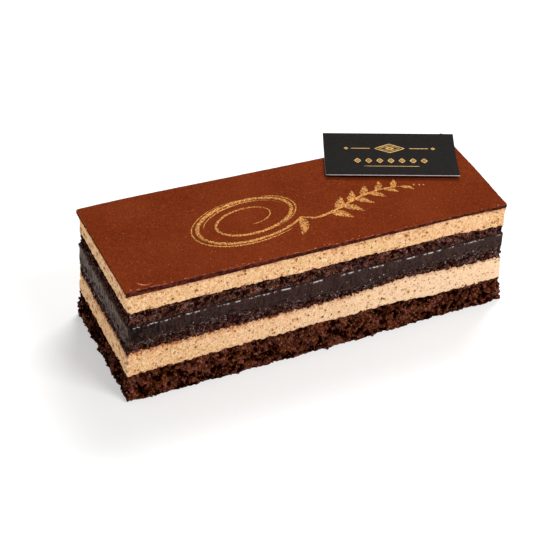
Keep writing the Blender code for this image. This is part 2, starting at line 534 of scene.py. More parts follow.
def make_piece(
    name: str,
    points: Floats,
    faces: Sequence[Whole],
    material: bpy.types.Material,
    values: Values | None = None,
    smooth: bool = True,
) -> Piece:
    """Makes a mesh object from arrays and lets it ride on the cake.

    Args:
        name: the piece's name.
        points: its points, in millimetres.
        faces: arrays of corner numbers, each with one count of corners to a face.
        material: its finish.
        values: numbers for each point, that the material reads by name.
        smooth: whether it is shaded smooth.

    Returns:
        The new object, at the origin.
    """
    mesh = bpy.data.meshes.new(name)
    mesh.vertices.add(len(points))
    mesh.vertices.foreach_set("co", (points * MM).astype(np.float32).ravel())
    corners = np.concatenate([part.ravel() for part in faces]).astype(np.int32)
    counts = np.concatenate([np.full(len(part), part.shape[1]) for part in faces])
    mesh.loops.add(len(corners))
    mesh.loops.foreach_set("vertex_index", corners)
    mesh.polygons.add(len(counts))
    mesh.polygons.foreach_set("loop_start", (np.cumsum(counts) - counts).astype(np.int32))
    mesh.update(calc_edges=True)
    for label, numbers in (values or {}).items():
        layer = mesh.attributes.new(label, "FLOAT", "POINT")
        layer.data.foreach_set("value", np.asarray(numbers, np.float32).ravel())
    if smooth:
        mesh.shade_smooth()
    mesh.materials.append(material)
    made = bpy.data.objects.new(name, mesh)
    bpy.context.scene.collection.objects.link(made)
    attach(made, BODY)
    return made


def ring_faces(rows: int, count: int, first: int = 0) -> Whole:
    """Four-cornered faces between closed rings that lie one above the other.

    Args:
        rows: how many rings there are.
        count: how many points a ring has, counter-clockwise from above.
        first: the number of the first point of the lowest ring.

    Returns:
        Corner numbers, four to a face, facing out.
    """
    here = np.arange(count)
    after = np.roll(here, -1)
    low = first + np.arange(rows - 1)[:, None] * count
    high = low + count
    return np.stack([low + here, low + after, high + after, high + here], axis=-1).reshape(-1, 4)


class Shell:
    """A closed shell: rings round the bar, and a cap at each end that runs in to a spine."""

    def __init__(self, outline: Outline, spots: Spots) -> None:
        """Finds the point of the spine that belongs to each station of a ring.

        Args:
            outline: the bar's outline.
            spots: the stations of a ring.
        """
        reach = outline.half_length - outline.half_width
        along = np.round(np.clip(spots.place[:, 0], -reach, reach), 3)
        self.spine_x, self.spine_of = np.unique(along, return_inverse=True)
        self.count = len(spots.walked)

    def inward(self, spots: Spots, share: float) -> Floats:
        """Plan positions a share of the way from the stations to their points of the spine."""
        spine = np.stack([self.spine_x[self.spine_of], np.zeros(self.count)], axis=-1)
        return spots.place + (spine - spots.place) * share

    def faces(self, rows: int) -> list[Whole]:
        """Faces of the rings and of both caps.

        The points are numbered ring by ring from the lowest, then the lower spine, then the upper spine.

        Args:
            rows: how many rings there are.

        Returns:
            Arrays of corner numbers.
        """
        here = np.arange(self.count)
        after = np.roll(here, -1)
        made = [ring_faces(rows, self.count)]
        spines = (rows * self.count, rows * self.count + len(self.spine_x))
        for ring, spine, upward in ((0, spines[0], False), ((rows - 1) * self.count, spines[1], True)):
            near, far = spine + self.spine_of, spine + self.spine_of[after]
            pointed = near == far
            three = np.stack([ring + here, ring + after, far], axis=-1)[pointed]
            four = np.stack([ring + here, ring + after, far, near], axis=-1)[~pointed]
            made += [part if upward else part[:, ::-1] for part in (three, four)]
        return made

    def spine(self, height: Floats | float) -> Floats:
        """Points of the spine at some height, in millimetres."""
        level = np.broadcast_to(height, self.spine_x.shape)
        return np.stack([self.spine_x, np.zeros(len(self.spine_x)), level], axis=-1)


@dataclass(frozen=True)
class Net:
    """Adds nodes to a node tree and joins them."""

    tree: Tree

    def node(self, kind: str, inputs: dict | None = None, **settings: object) -> Node:
        """Adds a node.

        Args:
            kind: the node's type, without the word ShaderNode.
            inputs: a socket or a fixed value for each input, by name or number.
            **settings: properties of the node.

        Returns:
            The node.
        """
        made = self.tree.nodes.new("ShaderNode" + kind)
        for setting, value in settings.items():
            setattr(made, setting, value)
        self.plug(made, inputs or {})
        return made

    def plug(self, reader: Node, inputs: dict) -> None:
        """Links each socket, and sets each fixed value, at the input of a node that it is given for."""
        for key, value in inputs.items():
            if isinstance(value, Socket):
                self.tree.links.new(value, reader.inputs[key])
            else:
                reader.inputs[key].default_value = value

    def math(self, operation: str, first: object, second: object = 0.0) -> Socket:
        """The result of a sum or another operation on two numbers."""
        return self.node("Math", {0: first, 1: second}, operation=operation).outputs[0]

    def mix(self, share: object, first: object, second: object, blend: str = "MIX") -> Socket:
        """The second colour mixed into the first by a share."""
        inputs = {0: share, 6: first, 7: second}
        return self.node("Mix", inputs, data_type="RGBA", blend_type=blend).outputs[2]

    def times(self, first: object, second: object) -> Socket:
        """The product of two numbers."""
        return self.math("MULTIPLY", first, second)

    def between(self, value: object, low: float, high: float, to: Pair = (0.0, 1.0)) -> Socket:
        """A value carried from one range to another, held at the ends."""
        inputs = {0: value, 1: low, 2: high, 3: to[0], 4: to[1]}
        return self.node("MapRange", inputs).outputs[0]

    def place(self, stretch: tuple[float, float, float] = (1, 1, 1)) -> Socket:
        """Object coordinates in millimetres, multiplied along each axis by stretch."""
        here = self.node("TexCoord").outputs["Object"]
        return self.stretched(here, [part / MM for part in stretch])

    def stretched(self, vector: object, factors: Sequence[float]) -> Socket:
        """A vector with each part multiplied by its factor."""
        return self.node("VectorMath", {0: vector, 1: factors}, operation="MULTIPLY").outputs[0]

    def noise(self, vector: object, scale: object, detail: float = 2.0) -> Socket:
        """Fractal noise from 0 to 1 whose features are one over scale across."""
        inputs = {"Vector": vector, "Scale": scale, "Detail": detail, "Roughness": 0.55}
        return self.node("TexNoise", inputs).outputs[0]

    def value(self, label: str) -> Socket:
        """A number that the mesh holds for each point."""
        return self.node("Attribute", attribute_name=label).outputs["Fac"]

    def warped(self, vector: object, scale: float, reach: float) -> Socket:
        """A vector pushed about by coloured noise, by up to reach each way."""
        push = self.node("TexNoise", {"Vector": vector, "Scale": scale, "Detail": 2.0}).outputs["Color"]
        away = self.node("VectorMath", {0: push, 1: (0.5, 0.5, 0.5)}, operation="SUBTRACT").outputs[0]
        step = self.node("VectorMath", {0: away, "Scale": 2 * reach}, operation="SCALE").outputs[0]
        return self.node("VectorMath", {0: vector, 1: step}, operation="ADD").outputs[0]

    def cells(self, vector: object, size: object, bend: float) -> tuple[Socket, Socket]:
        """Bent cells of Voronoi noise.

        Args:
            vector: where they are read.
            size: the mean distance between their seeds.
            bend: one over the size of the noise that bends them.

        Returns:
            The distance to the nearest seed, as a share of size, and a random number for its cell.
        """
        bent = self.warped(vector, bend, 0.25)
        made = self.node("TexVoronoi", {"Vector": bent, "Scale": self.math("DIVIDE", 1.0, size)})
        random = self.node("SeparateColor", {0: made.outputs["Color"]}).outputs[0]
        return made.outputs["Distance"], random

    def tinted(self, colour: object, tint: Socket) -> Socket:
        """A colour multiplied by a number."""
        grey = self.node("CombineColor", {0: tint, 1: tint, 2: tint}).outputs[0]
        return self.mix(1.0, colour, grey, "MULTIPLY")

    def group(self, made: Tree, *inputs: object) -> Node:
        """A group's node, from the group and a socket or a fixed value for each input in order."""
        return self.node("Group", dict(enumerate(inputs)), node_tree=made)

    def pores(self, cell: float, share: object) -> Node:
        """Small round spots, as the air pores group.

        Args:
            cell: the mean distance between spots, in millimetres.
            share: the radius of the largest spots, as a share of that distance.

        Returns:
            The group's node: its Mask is 1 inside the spots, and its Brim also close round them.
        """
        return self.group(pore_group(), self.place(), cell, share)

    def bump(self, height: object, depth: float, strength: float = 1.0, **below: Socket) -> Socket:
        """A bumped normal, for a height of 0 to 1 that stands for depth millimetres, over one below."""
        inputs = {"Height": height, "Distance": depth * MM, "Strength": strength, **below}
        return self.node("Bump", inputs).outputs[0]


def node_group(
    name: str,
    numbers: dict[str, float],
    outputs: Sequence[str],
    fill: Callable[[Net, Node, Node], None],
) -> Tree:
    """A shader node group that reads a vector and some numbers and gives numbers.

    Args:
        name: the group's name.
        numbers: the names and the starting values of the numbers that it reads.
        outputs: the names of the numbers that it gives.
        fill: a function that wires the group's inside.

    Returns:
        The group.
    """
    made = bpy.data.node_groups.new(name, "ShaderNodeTree")
    made.interface.new_socket("Vector", in_out="INPUT", socket_type="NodeSocketVector")
    for label, start in numbers.items():
        socket = made.interface.new_socket(label, in_out="INPUT", socket_type="NodeSocketFloat")
        socket.default_value = start
    for label in outputs:
        made.interface.new_socket(label, in_out="OUTPUT", socket_type="NodeSocketFloat")
    fill(Net(made), made.nodes.new("NodeGroupInput"), made.nodes.new("NodeGroupOutput"))
    return made


@cache
def grain_group() -> Tree:
    """Fine grain: noise of one size with noise of a third of that size on it, as a height and as a tint.

    Returns:
        The group, with inputs Vector, Size in millimetres and Contrast, and outputs Height and Tint.
    """

    def fill(net: Net, taken: Node, given: Node) -> None:
        """Adds two sizes of noise and spreads them about the middle by the contrast."""
        scale = net.math("DIVIDE", 1.0, taken.outputs["Size"])
        coarse = net.noise(taken.outputs["Vector"], scale, 1.0)
        fine = net.noise(taken.outputs["Vector"], net.times(scale, 3.1), 1.0)
        both = net.math("ADD", net.times(coarse, 0.6), net.times(fine, 0.4))
        away = net.times(net.math("SUBTRACT", both, 0.5), taken.outputs["Contrast"])
        net.plug(given, {"Height": both, "Tint": net.math("ADD", away, 1.0)})

    return node_group("fine_grain", {"Size": 1.0, "Contrast": 1.0}, ("Height", "Tint"), fill)


@cache
def crumb_group() -> Tree:
    """Fine crumb: cells of random brightness, high in their middle and dark where they meet, as painted
    shade.

    Returns:
        The group, with inputs Vector, Size in millimetres and Contrast, and outputs Height and Tint.
    """

    def fill(net: Net, taken: Node, given: Node) -> None:
        """Adds a cell's dome and its random share, and spreads them about their mean by the contrast."""
        distance, random = net.cells(taken.outputs["Vector"], taken.outputs["Size"], 1.8)
        # painted shade: the tint darkens towards where cells meet
        dome = net.between(distance, 0.15, 0.65, (0.6, 0.0))
        both = net.math("ADD", dome, net.times(random, 0.4))
        away = net.times(net.math("SUBTRACT", both, 0.36), taken.outputs["Contrast"])
        tint = net.math("MAXIMUM", net.math("ADD", away, 1.0), 0.12)
        net.plug(given, {"Height": both, "Tint": tint})

    return node_group("fine_crumb", {"Size": 1.0, "Contrast": 1.0}, ("Height", "Tint"), fill)


@cache
def pore_group() -> Tree:
    """Air pores: round spots of random size, slightly bent, as cells of Voronoi noise.

    Returns:
        The group, with inputs Vector, Cell in millimetres and Share, and outputs Mask and Brim.
    """

    def fill(net: Net, taken: Node, given: Node) -> None:
        """Compares the distance to a cell's seed with a radius that the cell's random colour gives."""
        distance, random = net.cells(taken.outputs["Vector"], taken.outputs["Cell"], 1.6)
        radius = net.times(net.between(random, 0.42, 1.0, (0.02, 1.0)), taken.outputs["Share"])
        inside = net.math("DIVIDE", distance, radius)
        mask, brim = net.between(inside, 1.0, 0.55), net.between(inside, 2.0, 0.9)
        net.plug(given, {"Mask": mask, "Brim": brim})

    return node_group("air_pores", {"Cell": 1.0, "Share": 0.3}, ("Mask", "Brim"), fill)


@dataclass(frozen=True)
class Finish:
    """A material. Its subclasses wire its colour, roughness and normal."""

    name: str

    def wire(self, net: Net, shader: Node) -> None:
        """Wires the shader's inputs."""
        raise NotImplementedError

    @cache
    def material(self) -> bpy.types.Material:
        """The finish as a material, made once."""
        made = bpy.data.materials.new(self.name)
        made.use_nodes = True
        self.wire(Net(made.node_tree), made.node_tree.nodes["Principled BSDF"])
        return made


@dataclass(frozen=True)
class SpongeFinish(Finish):
    """Cocoa sponge: nearly black in its hollows, brown to red-brown on its lumps, with moist glints.

    size is that of its fine crumb in millimetres, contrast how much its tint varies, and moist how
    strongly it glints, by its shine and by pale specks that are painted glints. Its hollows are painted
    nearly black, as painted shade, and its crests lighter, as painted light.
    """

    hollow: Colour
    crumb: Colour
    rosy: Colour
    crest: Colour
    warm: Colour
    soaked: Colour
    moist: float
    size: float
    contrast: float
    painted_glint_speck: Colour

    def wire(self, net: Net, shader: Node) -> None:
        """Colours by the relief that the mesh holds, varies the lumps by grain, and moistens a few.

        The mesh also says where syrup has soaked in, which makes the crumb darker and wetter. The
        relief's colours are painted shade in the hollows and painted light on the crests, and the moist
        places get painted glint specks besides their shine.
        """
        place = net.place()
        relief, soak = net.value("relief"), net.value("soak")
        crumbs = net.group(crumb_group(), place, self.size, self.contrast)
        broad = net.noise(place, 0.28, 3.0)
        patches = net.noise(place, 0.7, 2.0)
        tone = net.mix(net.between(broad, 0.42, 0.58), self.crumb, self.rosy)
        # painted light and shade: the lighter crest colour on high relief, nearly black in the hollows
        top = net.mix(net.between(patches, 0.42, 0.58), self.crest, self.warm)
        low = net.mix(net.between(relief, 0.26, 0.62), self.hollow, tone)
        lit = net.between(net.noise(place, 1.1, 1.0), 0.44, 0.6, (0.05, 1.0))
        share = net.times(net.between(relief, 0.58, 0.92), lit)
        colour = net.mix(share, low, top)
        colour = net.mix(net.times(soak, 0.75), colour, self.soaked)
        dim = net.between(net.noise(place, 0.45, 2.0), 0.36, 0.6, (0.78, 1.1))
        colour = net.tinted(net.tinted(colour, crumbs.outputs["Tint"]), dim)
        # painted glints: pale specks on the higher crumb, as much as the sponge is moist
        specks = net.times(net.pores(0.9, 0.24).outputs["Mask"], net.between(relief, 0.5, 0.8))
        colour = net.mix(net.times(specks, self.moist), colour, self.painted_glint_speck)
        drops = net.noise(net.place((0.7, 0.7, 1.3)), 2.3, 1.0)
        limit = net.between(soak, 0.0, 1.0, (0.58, 0.5))
        spots = net.between(net.math("SUBTRACT", drops, limit), 0.0, 0.07, (0.0, self.moist))
        wet = net.times(spots, net.between(relief, 0.4, 0.7))
        normal = net.bump(crumbs.outputs["Height"], 0.32)
        inputs = {"Base Color": colour, "Specular IOR Level": wet, "Normal": normal}
        net.plug(shader, inputs | {"Roughness": 0.22, "IOR": 1.7})


@dataclass(frozen=True)
class CreamFinish(Finish):
    """Coffee butter cream: pale and satin, streaked by the knife, with air holes and brown stains."""

    body: Colour
    light: Colour
    dark: Colour
    rosy: Colour
    brim: Colour
    hole: Colour
    stain: Colour
    pale: Colour

    def wire(self, net: Net, shader: Node) -> None:
        """Mottles the body lighter, darker and rosier, browns the air holes and stains the edges.

        A hole's dark core is painted shade, and its brim of a warmer brown is painted half shade, warm
        as light that went through the cream. The mesh says which end of the bar stays in the shade, where
        the colour is painted a little lighter, and where it is painted paler: both painted light.
        """
        warp = net.warped(net.place(), 0.45, 1.6)
        streaks = net.noise(net.stretched(warp, (1.4, 1.4, 1.05)), 1.0, 3.0)
        flecks = net.noise(net.stretched(warp, (1.0, 1.0, 0.75)), 2.8, 2.0)
        patches = net.noise(warp, 0.4, 2.0)
        colour = net.mix(net.between(patches, 0.4, 0.6, (0.0, 0.8)), self.body, self.rosy)
        colour = net.mix(net.between(streaks, 0.47, 0.34, (0.0, 0.8)), colour, self.dark)
        colour = net.mix(net.between(streaks, 0.52, 0.64, (0.0, 0.7)), colour, self.light)
        colour = net.mix(net.between(flecks, 0.46, 0.36, (0.0, 0.65)), colour, self.dark)
        colour = net.mix(net.between(flecks, 0.54, 0.64, (0.0, 0.65)), colour, self.light)
        # painted light: paler where the mesh says, towards the right and on the left end
        colour = net.mix(net.value("pale"), colour, self.pale)
        stain = net.times(net.value("stain"), net.between(streaks, 0.4, 0.55, (1.0, 0.4)))
        colour = net.mix(stain, colour, self.stain)
        pore = net.value("pore")
        brims, cores = net.times(pore, 1.5), pore
        crowd = net.between(net.noise(warp, 0.5, 2.0), 0.36, 0.6, (0.45, 1.15))
        for cell, share in ((0.66, 0.34), (1.1, 0.34), (2.2, 0.24)):
            holes = net.pores(cell, net.times(crowd, share))
            brims = net.math("MAXIMUM", brims, holes.outputs["Brim"])
            cores = net.math("MAXIMUM", cores, holes.outputs["Mask"])
        # painted shade: warm brown brims round the air holes and dark cores in them
        colour = net.mix(net.between(brims, 0.0, 1.0, (0.0, 0.65)), colour, self.brim)
        colour = net.mix(net.times(cores, 0.85), colour, self.hole)
        # painted light: the end that stays in the shade is made a little lighter
        shaded = net.between(net.value("shaded"), 0.0, 1.0, (1.0, 1.15))
        deep = net.math("SUBTRACT", streaks, net.times(cores, 0.5))
        inputs = {"Base Color": net.tinted(colour, shaded), "Normal": net.bump(deep, 0.2, 0.8)}
        net.plug(shader, inputs | {"Roughness": 0.6, "Specular IOR Level": 0.0})
        glow = {"Weight": 0.06, "Radius": (1.0, 0.6, 0.3), "Scale": 0.4 * MM}
        net.plug(shader, {"Subsurface " + part: value for part, value in glow.items()})


@dataclass(frozen=True)
class GanacheFinish(Finish):
    """Dark ganache: smooth and softly shining, wet along its lip, and dull where the knife's scrape went.

    dash is how many dashes the painted glint on the wet lip has in a millimetre. Where the knife's
    scrape went it is also lighter, partly as painted sheen.
    """

    body: Colour
    bloom: Colour
    scraped_sheen: Colour
    torn: Colour
    sheen: Colour
    shine: float
    glint: Colour
    dash: float

    def wire(self, net: Net, shader: Node) -> None:
        """Varies the body in streaks that run down; the mesh says where it is wet, has the knife's scrape,
        or is torn. Wet places get a painted glint, the scrape a lighter colour that is partly painted sheen,
        and tears near black, as painted shade.
        """
        streaks = net.noise(net.place((1.0, 1.0, 0.2)), 0.45, 3.0)
        fibres = net.noise(net.place((1.0, 1.0, 0.3)), 1.4, 3.0)
        specks = net.group(grain_group(), net.place((1.0, 1.0, 0.8)), 0.6, 4.6)
        wet, scrape = net.value("wet"), net.value("scrape")
        colour = net.mix(net.between(streaks, 0.38, 0.62), self.body, self.bloom)
        # the scrape: a lighter colour, partly painted sheen, with dark fibres
        scraped_sheen = net.mix(net.between(fibres, 0.5, 0.38, (0.0, 0.9)), self.scraped_sheen, self.torn)
        colour = net.mix(scrape, colour, scraped_sheen)
        # painted shade: tears and dents go near black
        colour = net.mix(net.value("torn"), colour, self.torn)
        colour = net.tinted(colour, specks.outputs["Tint"])
        # painted glint: pale dashes where the lip and the crumbs are wet
        broken = net.between(net.noise(net.place((1.0, 1.0, 0.6)), self.dash, 2.0), 0.44, 0.54)
        glints = net.times(broken, net.between(wet, 0.0, 0.7))
        gloss = net.between(scrape, 0.0, 1.0, (self.shine, 0.03))
        fine = net.bump(specks.outputs["Height"], 0.1, 0.7)
        inputs = {
            "Base Color": net.mix(glints, colour, self.glint),
            "Specular IOR Level": net.math("ADD", gloss, net.times(wet, 0.6)),
            "Specular Tint": self.sheen,
            "Roughness": net.between(wet, 0.0, 1.0, (0.36, 0.16)),
            "Normal": net.bump(streaks, 0.12, 0.5, Normal=fine),
        }
        net.plug(shader, inputs)


@dataclass(frozen=True)
class GlazeFinish(Finish):
    """Cocoa glaze: red-brown, matte and finely grained on top, dark where it is cut, its rim a painted
    highlight.
    """

    top: Colour
    top_light: Colour
    speck: Colour
    side: Colour
    side_light: Colour
    rim: Colour

    def wire(self, net: Net, shader: Node) -> None:
        """Grains the top and strews a few pale specks; the mesh says where the cut side and the rim are."""
        place = net.place()
        grain = net.group(grain_group(), place, 0.5, 2.1)
        mottle = net.between(net.noise(place, 0.55, 2.0), 0.35, 0.65, (0.94, 1.05))
        broad = net.between(net.noise(place, 0.05, 2.0), 0.35, 0.65)
        along = net.node("SeparateXYZ", {0: place}).outputs[0]
        colour = net.tinted(net.mix(broad, self.top, self.top_light), grain.outputs["Tint"])
        # darker towards the right end
        colour = net.tinted(net.tinted(colour, mottle), net.between(along, 0.0, 60.0, (1.0, 0.93)))
        colour = net.mix(net.times(net.pores(0.85, 0.26).outputs["Mask"], 0.6), colour, self.speck)
        blotches = net.noise(net.place((0.7, 0.7, 1.0)), 0.8, 3.0)
        cut = net.mix(net.between(blotches, 0.45, 0.62), self.side, self.side_light)
        colour = net.mix(net.value("cut"), colour, cut)
        # painted highlight: the rim goes pale, in broken stretches
        broken_rim_highlight = net.between(net.noise(net.place((0.6, 0.6, 1.0)), 1.1, 2.0), 0.45, 0.65, (0.1, 0.8))
        colour = net.mix(net.times(net.value("rim"), broken_rim_highlight), colour, self.rim)
        inputs = {"Base Color": colour, "Normal": net.bump(grain.outputs["Height"], 0.12, 0.8)}
        shine = net.times(net.value("cut"), 0.04)
        net.plug(shader, inputs | {"Specular IOR Level": shine, "Roughness": 0.5})


@dataclass(frozen=True)
class GoldFinish(Finish):
    """Gold paint, or any other paint of two tones: light flakes, partly painted highlight, in a darker body.
    """

    body: Colour
    light: Colour
    metal: float
    size: float
    shine: float = 0.5

    def wire(self, net: Net, shader: Node) -> None:
        """Mixes dark and light flakes, each with its own tilt."""
        grain = net.group(grain_group(), net.place(), self.size, 1.0)
        height = grain.outputs["Height"]
        # lighter where the grain stands up: in the gold these light flakes are partly painted highlight
        colour = net.mix(net.between(height, 0.42, 0.58), self.body, self.light)
        inputs = {"Base Color": colour, "Normal": net.bump(height, 0.08, 0.8), "Roughness": 0.45}
        net.plug(shader, inputs | {"Specular IOR Level": self.shine, "Metallic": self.metal})


@dataclass(frozen=True)
class PaperFinish(Finish):
    """Card: printed black on its faces, or bare and fibrous at its cut edge."""

    body: Colour
    fleck: Colour
    shine: float

    def wire(self, net: Net, shader: Node) -> None:
        """Flecks the body with fibres, stretched along the card."""
        fibres = net.noise(net.place((0.4, 1.0, 1.0)), 2.0, 3.0)
        colour = net.mix(net.between(fibres, 0.4, 0.75), self.body, self.fleck)
        inputs = {"Base Color": colour, "Normal": net.bump(fibres, 0.02, 0.5)}
        net.plug(shader, inputs | {"Roughness": 0.5, "Specular IOR Level": self.shine})


@dataclass(frozen=True)
class FloorFinish(Finish):
    """The plain pale floor."""

    body: Colour
    glow: float

    def wire(self, net: Net, shader: Node) -> None:
        """Sets one even matte colour, and a glow that keeps the shadows soft."""
        net.plug(shader, {"Base Color": self.body, "Roughness": 0.9, "Specular IOR Level": 0.0})
        net.plug(shader, {"Emission Color": (1, 1, 1, 1), "Emission Strength": self.glow})


# In the sponge finishes, hollow is painted shade, crest partly painted light, and the pale speck colour
# painted glints.
BOTTOM_SPONGE = SpongeFinish(
    "crumb_bottom",
    hollow=srgb(22, 4, 0),
    crumb=srgb(88, 41, 17),
    rosy=srgb(92, 43, 30),
    crest=srgb(142, 82, 66),
    warm=srgb(138, 76, 42),
    soaked=srgb(54, 26, 19),
    moist=0.5,
    size=0.6,
    contrast=1.85,
    painted_glint_speck=srgb(128, 84, 72),
)
SOAKED_SPONGE = SpongeFinish(
    "crumb_soaked",
    hollow=srgb(34, 11, 6),
    crumb=srgb(88, 47, 31),
    rosy=srgb(90, 51, 42),
    crest=srgb(134, 94, 84),
    warm=srgb(128, 74, 46),
    soaked=srgb(58, 36, 31),
    moist=0.9,
    size=0.56,
    contrast=2.7,
    painted_glint_speck=srgb(126, 108, 105),
)
# hole and brim are painted shade in the air holes, and pale is painted light.
COFFEE_CREAM = CreamFinish(
    "coffee_cream",
    body=srgb(232, 188, 136),
    light=srgb(250, 218, 176),
    dark=srgb(208, 150, 90),
    rosy=srgb(240, 184, 142),
    brim=srgb(176, 114, 50),
    hole=srgb(84, 36, 6),
    stain=srgb(156, 60, 14),
    pale=srgb(252, 222, 190),
)
# glint is a painted highlight, torn painted shade in tears and dents, and the scrape's colour partly painted
# sheen.
DARK_GANACHE = GanacheFinish(
    "dark_ganache",
    body=srgb(41, 23, 20),
    bloom=srgb(54, 35, 31),
    scraped_sheen=srgb(100, 77, 67),
    torn=srgb(14, 4, 3),
    sheen=srgb(255, 226, 214),
    shine=0.085,
    glint=srgb(200, 188, 186),
    dash=1.2,
)
WET_CRUMB = GanacheFinish(
    "wet_crumb",
    body=srgb(26, 12, 9),
    bloom=srgb(46, 27, 22),
    scraped_sheen=srgb(46, 27, 22),
    torn=srgb(20, 8, 6),
    sheen=srgb(255, 232, 222),
    shine=0.1,
    glint=srgb(216, 202, 198),
    dash=3.0,
)
# rim is a painted highlight along the upper edge.
COCOA_GLAZE = GlazeFinish(
    "cocoa_glaze",
    top=srgb(104, 41, 18),
    top_light=srgb(111, 46, 21),
    speck=srgb(190, 96, 56),
    side=srgb(46, 14, 9),
    side_light=srgb(98, 40, 24),
    rim=srgb(184, 92, 62),
)
BRUSHED_GOLD = GoldFinish("brushed_gold", srgb(118, 66, 26), srgb(224, 160, 80), 0.2, 0.5, 0.15)
FOIL_GOLD = GoldFinish("foil_gold", srgb(186, 140, 64), srgb(216, 174, 94), 0.2, 0.6)
BLACK_CARD = PaperFinish("black_card", srgb(34, 32, 31), srgb(40, 38, 37), 0.0)
CARD_CORE = PaperFinish("card_core", srgb(238, 228, 232), srgb(214, 202, 206), 0.1)
# the slivers and the scratch are chips and scratches of the glaze, painted pale as their highlight
SCUFF_AND_HIGHLIGHT_GLAZE = GoldFinish("scuff_and_highlight_glaze", srgb(166, 70, 40), srgb(226, 126, 84), 0.0, 0.25)
PALE_FLOOR = FloorFinish("pale_floor", srgb(206, 206, 206), glow=0.42)


@dataclass(frozen=True)
class Wall:
    """Places on the cut side of a layer, as arrays of one shape.

    points are the places on the knife's plane, in millimetres, and outward the plan directions out of
    the bar there. share is how far up the layer they are, from 0 to 1, and past these beyond its seams.
    """

    points: Floats
    outward: Floats
    share: Floats

    @property
    def x(self) -> Floats:
        """Places along the bar, in millimetres."""
        return self.points[..., 0]

    def noise(self, size: float | Sequence[float], octaves: int, seed: int) -> Floats:
        """Fractal noise on the wall, with its largest cell's size in millimetres."""
        return Noise.fractal(self.points / size, octaves, seed)


@dataclass(frozen=True)
class Layer:
    """A layer of the cake: a shell between two seams, whose cut side has a relief of its own.

    spacing is the distance between the points of its side, and edge_round how far the side turns in at a
    seam. The tucks are how it goes on beyond its seams, under its neighbours: pairs of a distance beyond
    and an inset. All are in millimetres.
    """

    node: str
    slot: str
    finish: Finish
    spacing: float = 0.24
    edge_round: float = 0.1
    tuck_below: Pairs = ((0.27, 0.28), (0.55, 0.68))
    tuck_above: Pairs = ((0.27, 0.28), (0.55, 0.68))

    @property
    def order(self) -> int:
        """The layer's place in the stack, from 0 at the base."""
        return LAYER_NODES.index(self.node)

    @property
    def seed(self) -> int:
        """The first seed of the layer's noise."""
        return 100 * self.order + 5

    def relief(self, wall: Wall) -> Relief:
        """How far the side stands out, in millimetres, and the numbers that the finish reads.

        Args:
            wall: places on the layer's side.

        Returns:
            The distance outwards, and arrays by name.
        """
        raise NotImplementedError

    def surface(
        self, bar: Bar, spots: Spots, share: Floats, beyond: Floats | float = 0, inset: Floats | float = 0
    ) -> Relief:
        """Points of the layer's side.

        The height goes from the lower seam to the upper one with share. Beyond a seam the side turns in
        under its neighbour.

        Args:
            bar: the bar of cake.
            spots: places on the outline.
            share: how far up the layer, from 0 to 1.
            beyond: millimetres above the upper seam, or below the lower one if negative.
            inset: millimetres inwards.

        Returns:
            The points on the leaning bar, in millimetres, and the arrays that the finish reads.
        """
        low, high = bar.bounds_at(self.order, spots)
        z = low + (high - low) * share + beyond
        place, outward = (np.broadcast_to(part, z.shape + (2,)) for part in (spots.place, spots.outward))
        points = np.concatenate([place, z[..., None]], axis=-1)
        out, values = self.relief(Wall(points, outward, (z - low) / (high - low)))
        near_edge = np.clip(1 - np.minimum(z - low, high - z) / EDGE_REACH, 0, 1)
        out = out - self.edge_round * near_edge**2 - inset
        return bar.leaned(np.concatenate([place + outward * out[..., None], z[..., None]], axis=-1)), values

    def side(self, bar: Bar, spots: Spots, share: Floats, below: Pairs, above: Pairs) -> Relief:
        """The whole side as a grid: rows between the seams, and the rows of the tucks beyond them.

        Args:
            bar: the bar of cake.
            spots: the stations of a row.
            share: how far up the layer each row between the seams is.
            below: the tuck under the neighbour below.
            above: the tuck under the neighbour above.

        Returns:
            The points, row by row from the lowest, and the arrays that the finish reads.
        """
        under, over = np.reshape(below, (-1, 2))[::-1], np.reshape(above, (-1, 2))
        shares = np.concatenate([0 * under[:, 0], share, 0 * over[:, 0] + 1])[:, None]
        beyond = np.concatenate([-under[:, 0], 0 * share, over[:, 0]])[:, None]
        inset = np.concatenate([under[:, 1], 0 * share, over[:, 1]])[:, None]
        return self.surface(bar, spots.rows(), shares, beyond, inset)

    def shell_piece(self, shell: Shell, parts: Sequence[Floats], values: Values) -> Piece:
        """Makes the layer's shell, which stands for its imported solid.

        Args:
            shell: what joins its rings.
            parts: its rings from the lowest, then its lower and its upper spine.
            values: the side's numbers for the finish, which are 0 on the rest of the shell.

        Returns:
            The new piece.
        """
        points = np.concatenate([part.reshape(-1, 3) for part in parts])
        padded = {name: np.pad(part.ravel(), (0, len(points) - part.size)) for name, part in values.items()}
        rows = (len(points) - 2 * len(shell.spine_x)) // shell.count
        made = make_piece(self.node + "_cut", points, shell.faces(rows), self.finish.material(), padded)
        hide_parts(self.node)
        return made

    def build(self, bar: Bar) -> Piece:
        """Makes the layer: its side, and a flat cap at each end. The lowest layer's base lies at 0.

        Args:
            bar: the bar of cake.

        Returns:
            The new piece.
        """
        spots = bar.outline.walk(self.spacing)
        shell = Shell(bar.outline, spots)
        low, high = bar.bounds_at(self.order, spots)
        rows = round(float(np.mean(high - low)) / self.spacing)
        below = self.tuck_below if self.order else ()
        side, values = self.side(bar, spots, np.linspace(0, 1, rows + 1), below, self.tuck_above)
        if not self.order:
            side[0, :, 2] = 0
        spines = [shell.spine(float(np.mean(ring[:, 2]))) for ring in (side[0], side[-1])]
        return self.shell_piece(shell, [side, *spines], values)


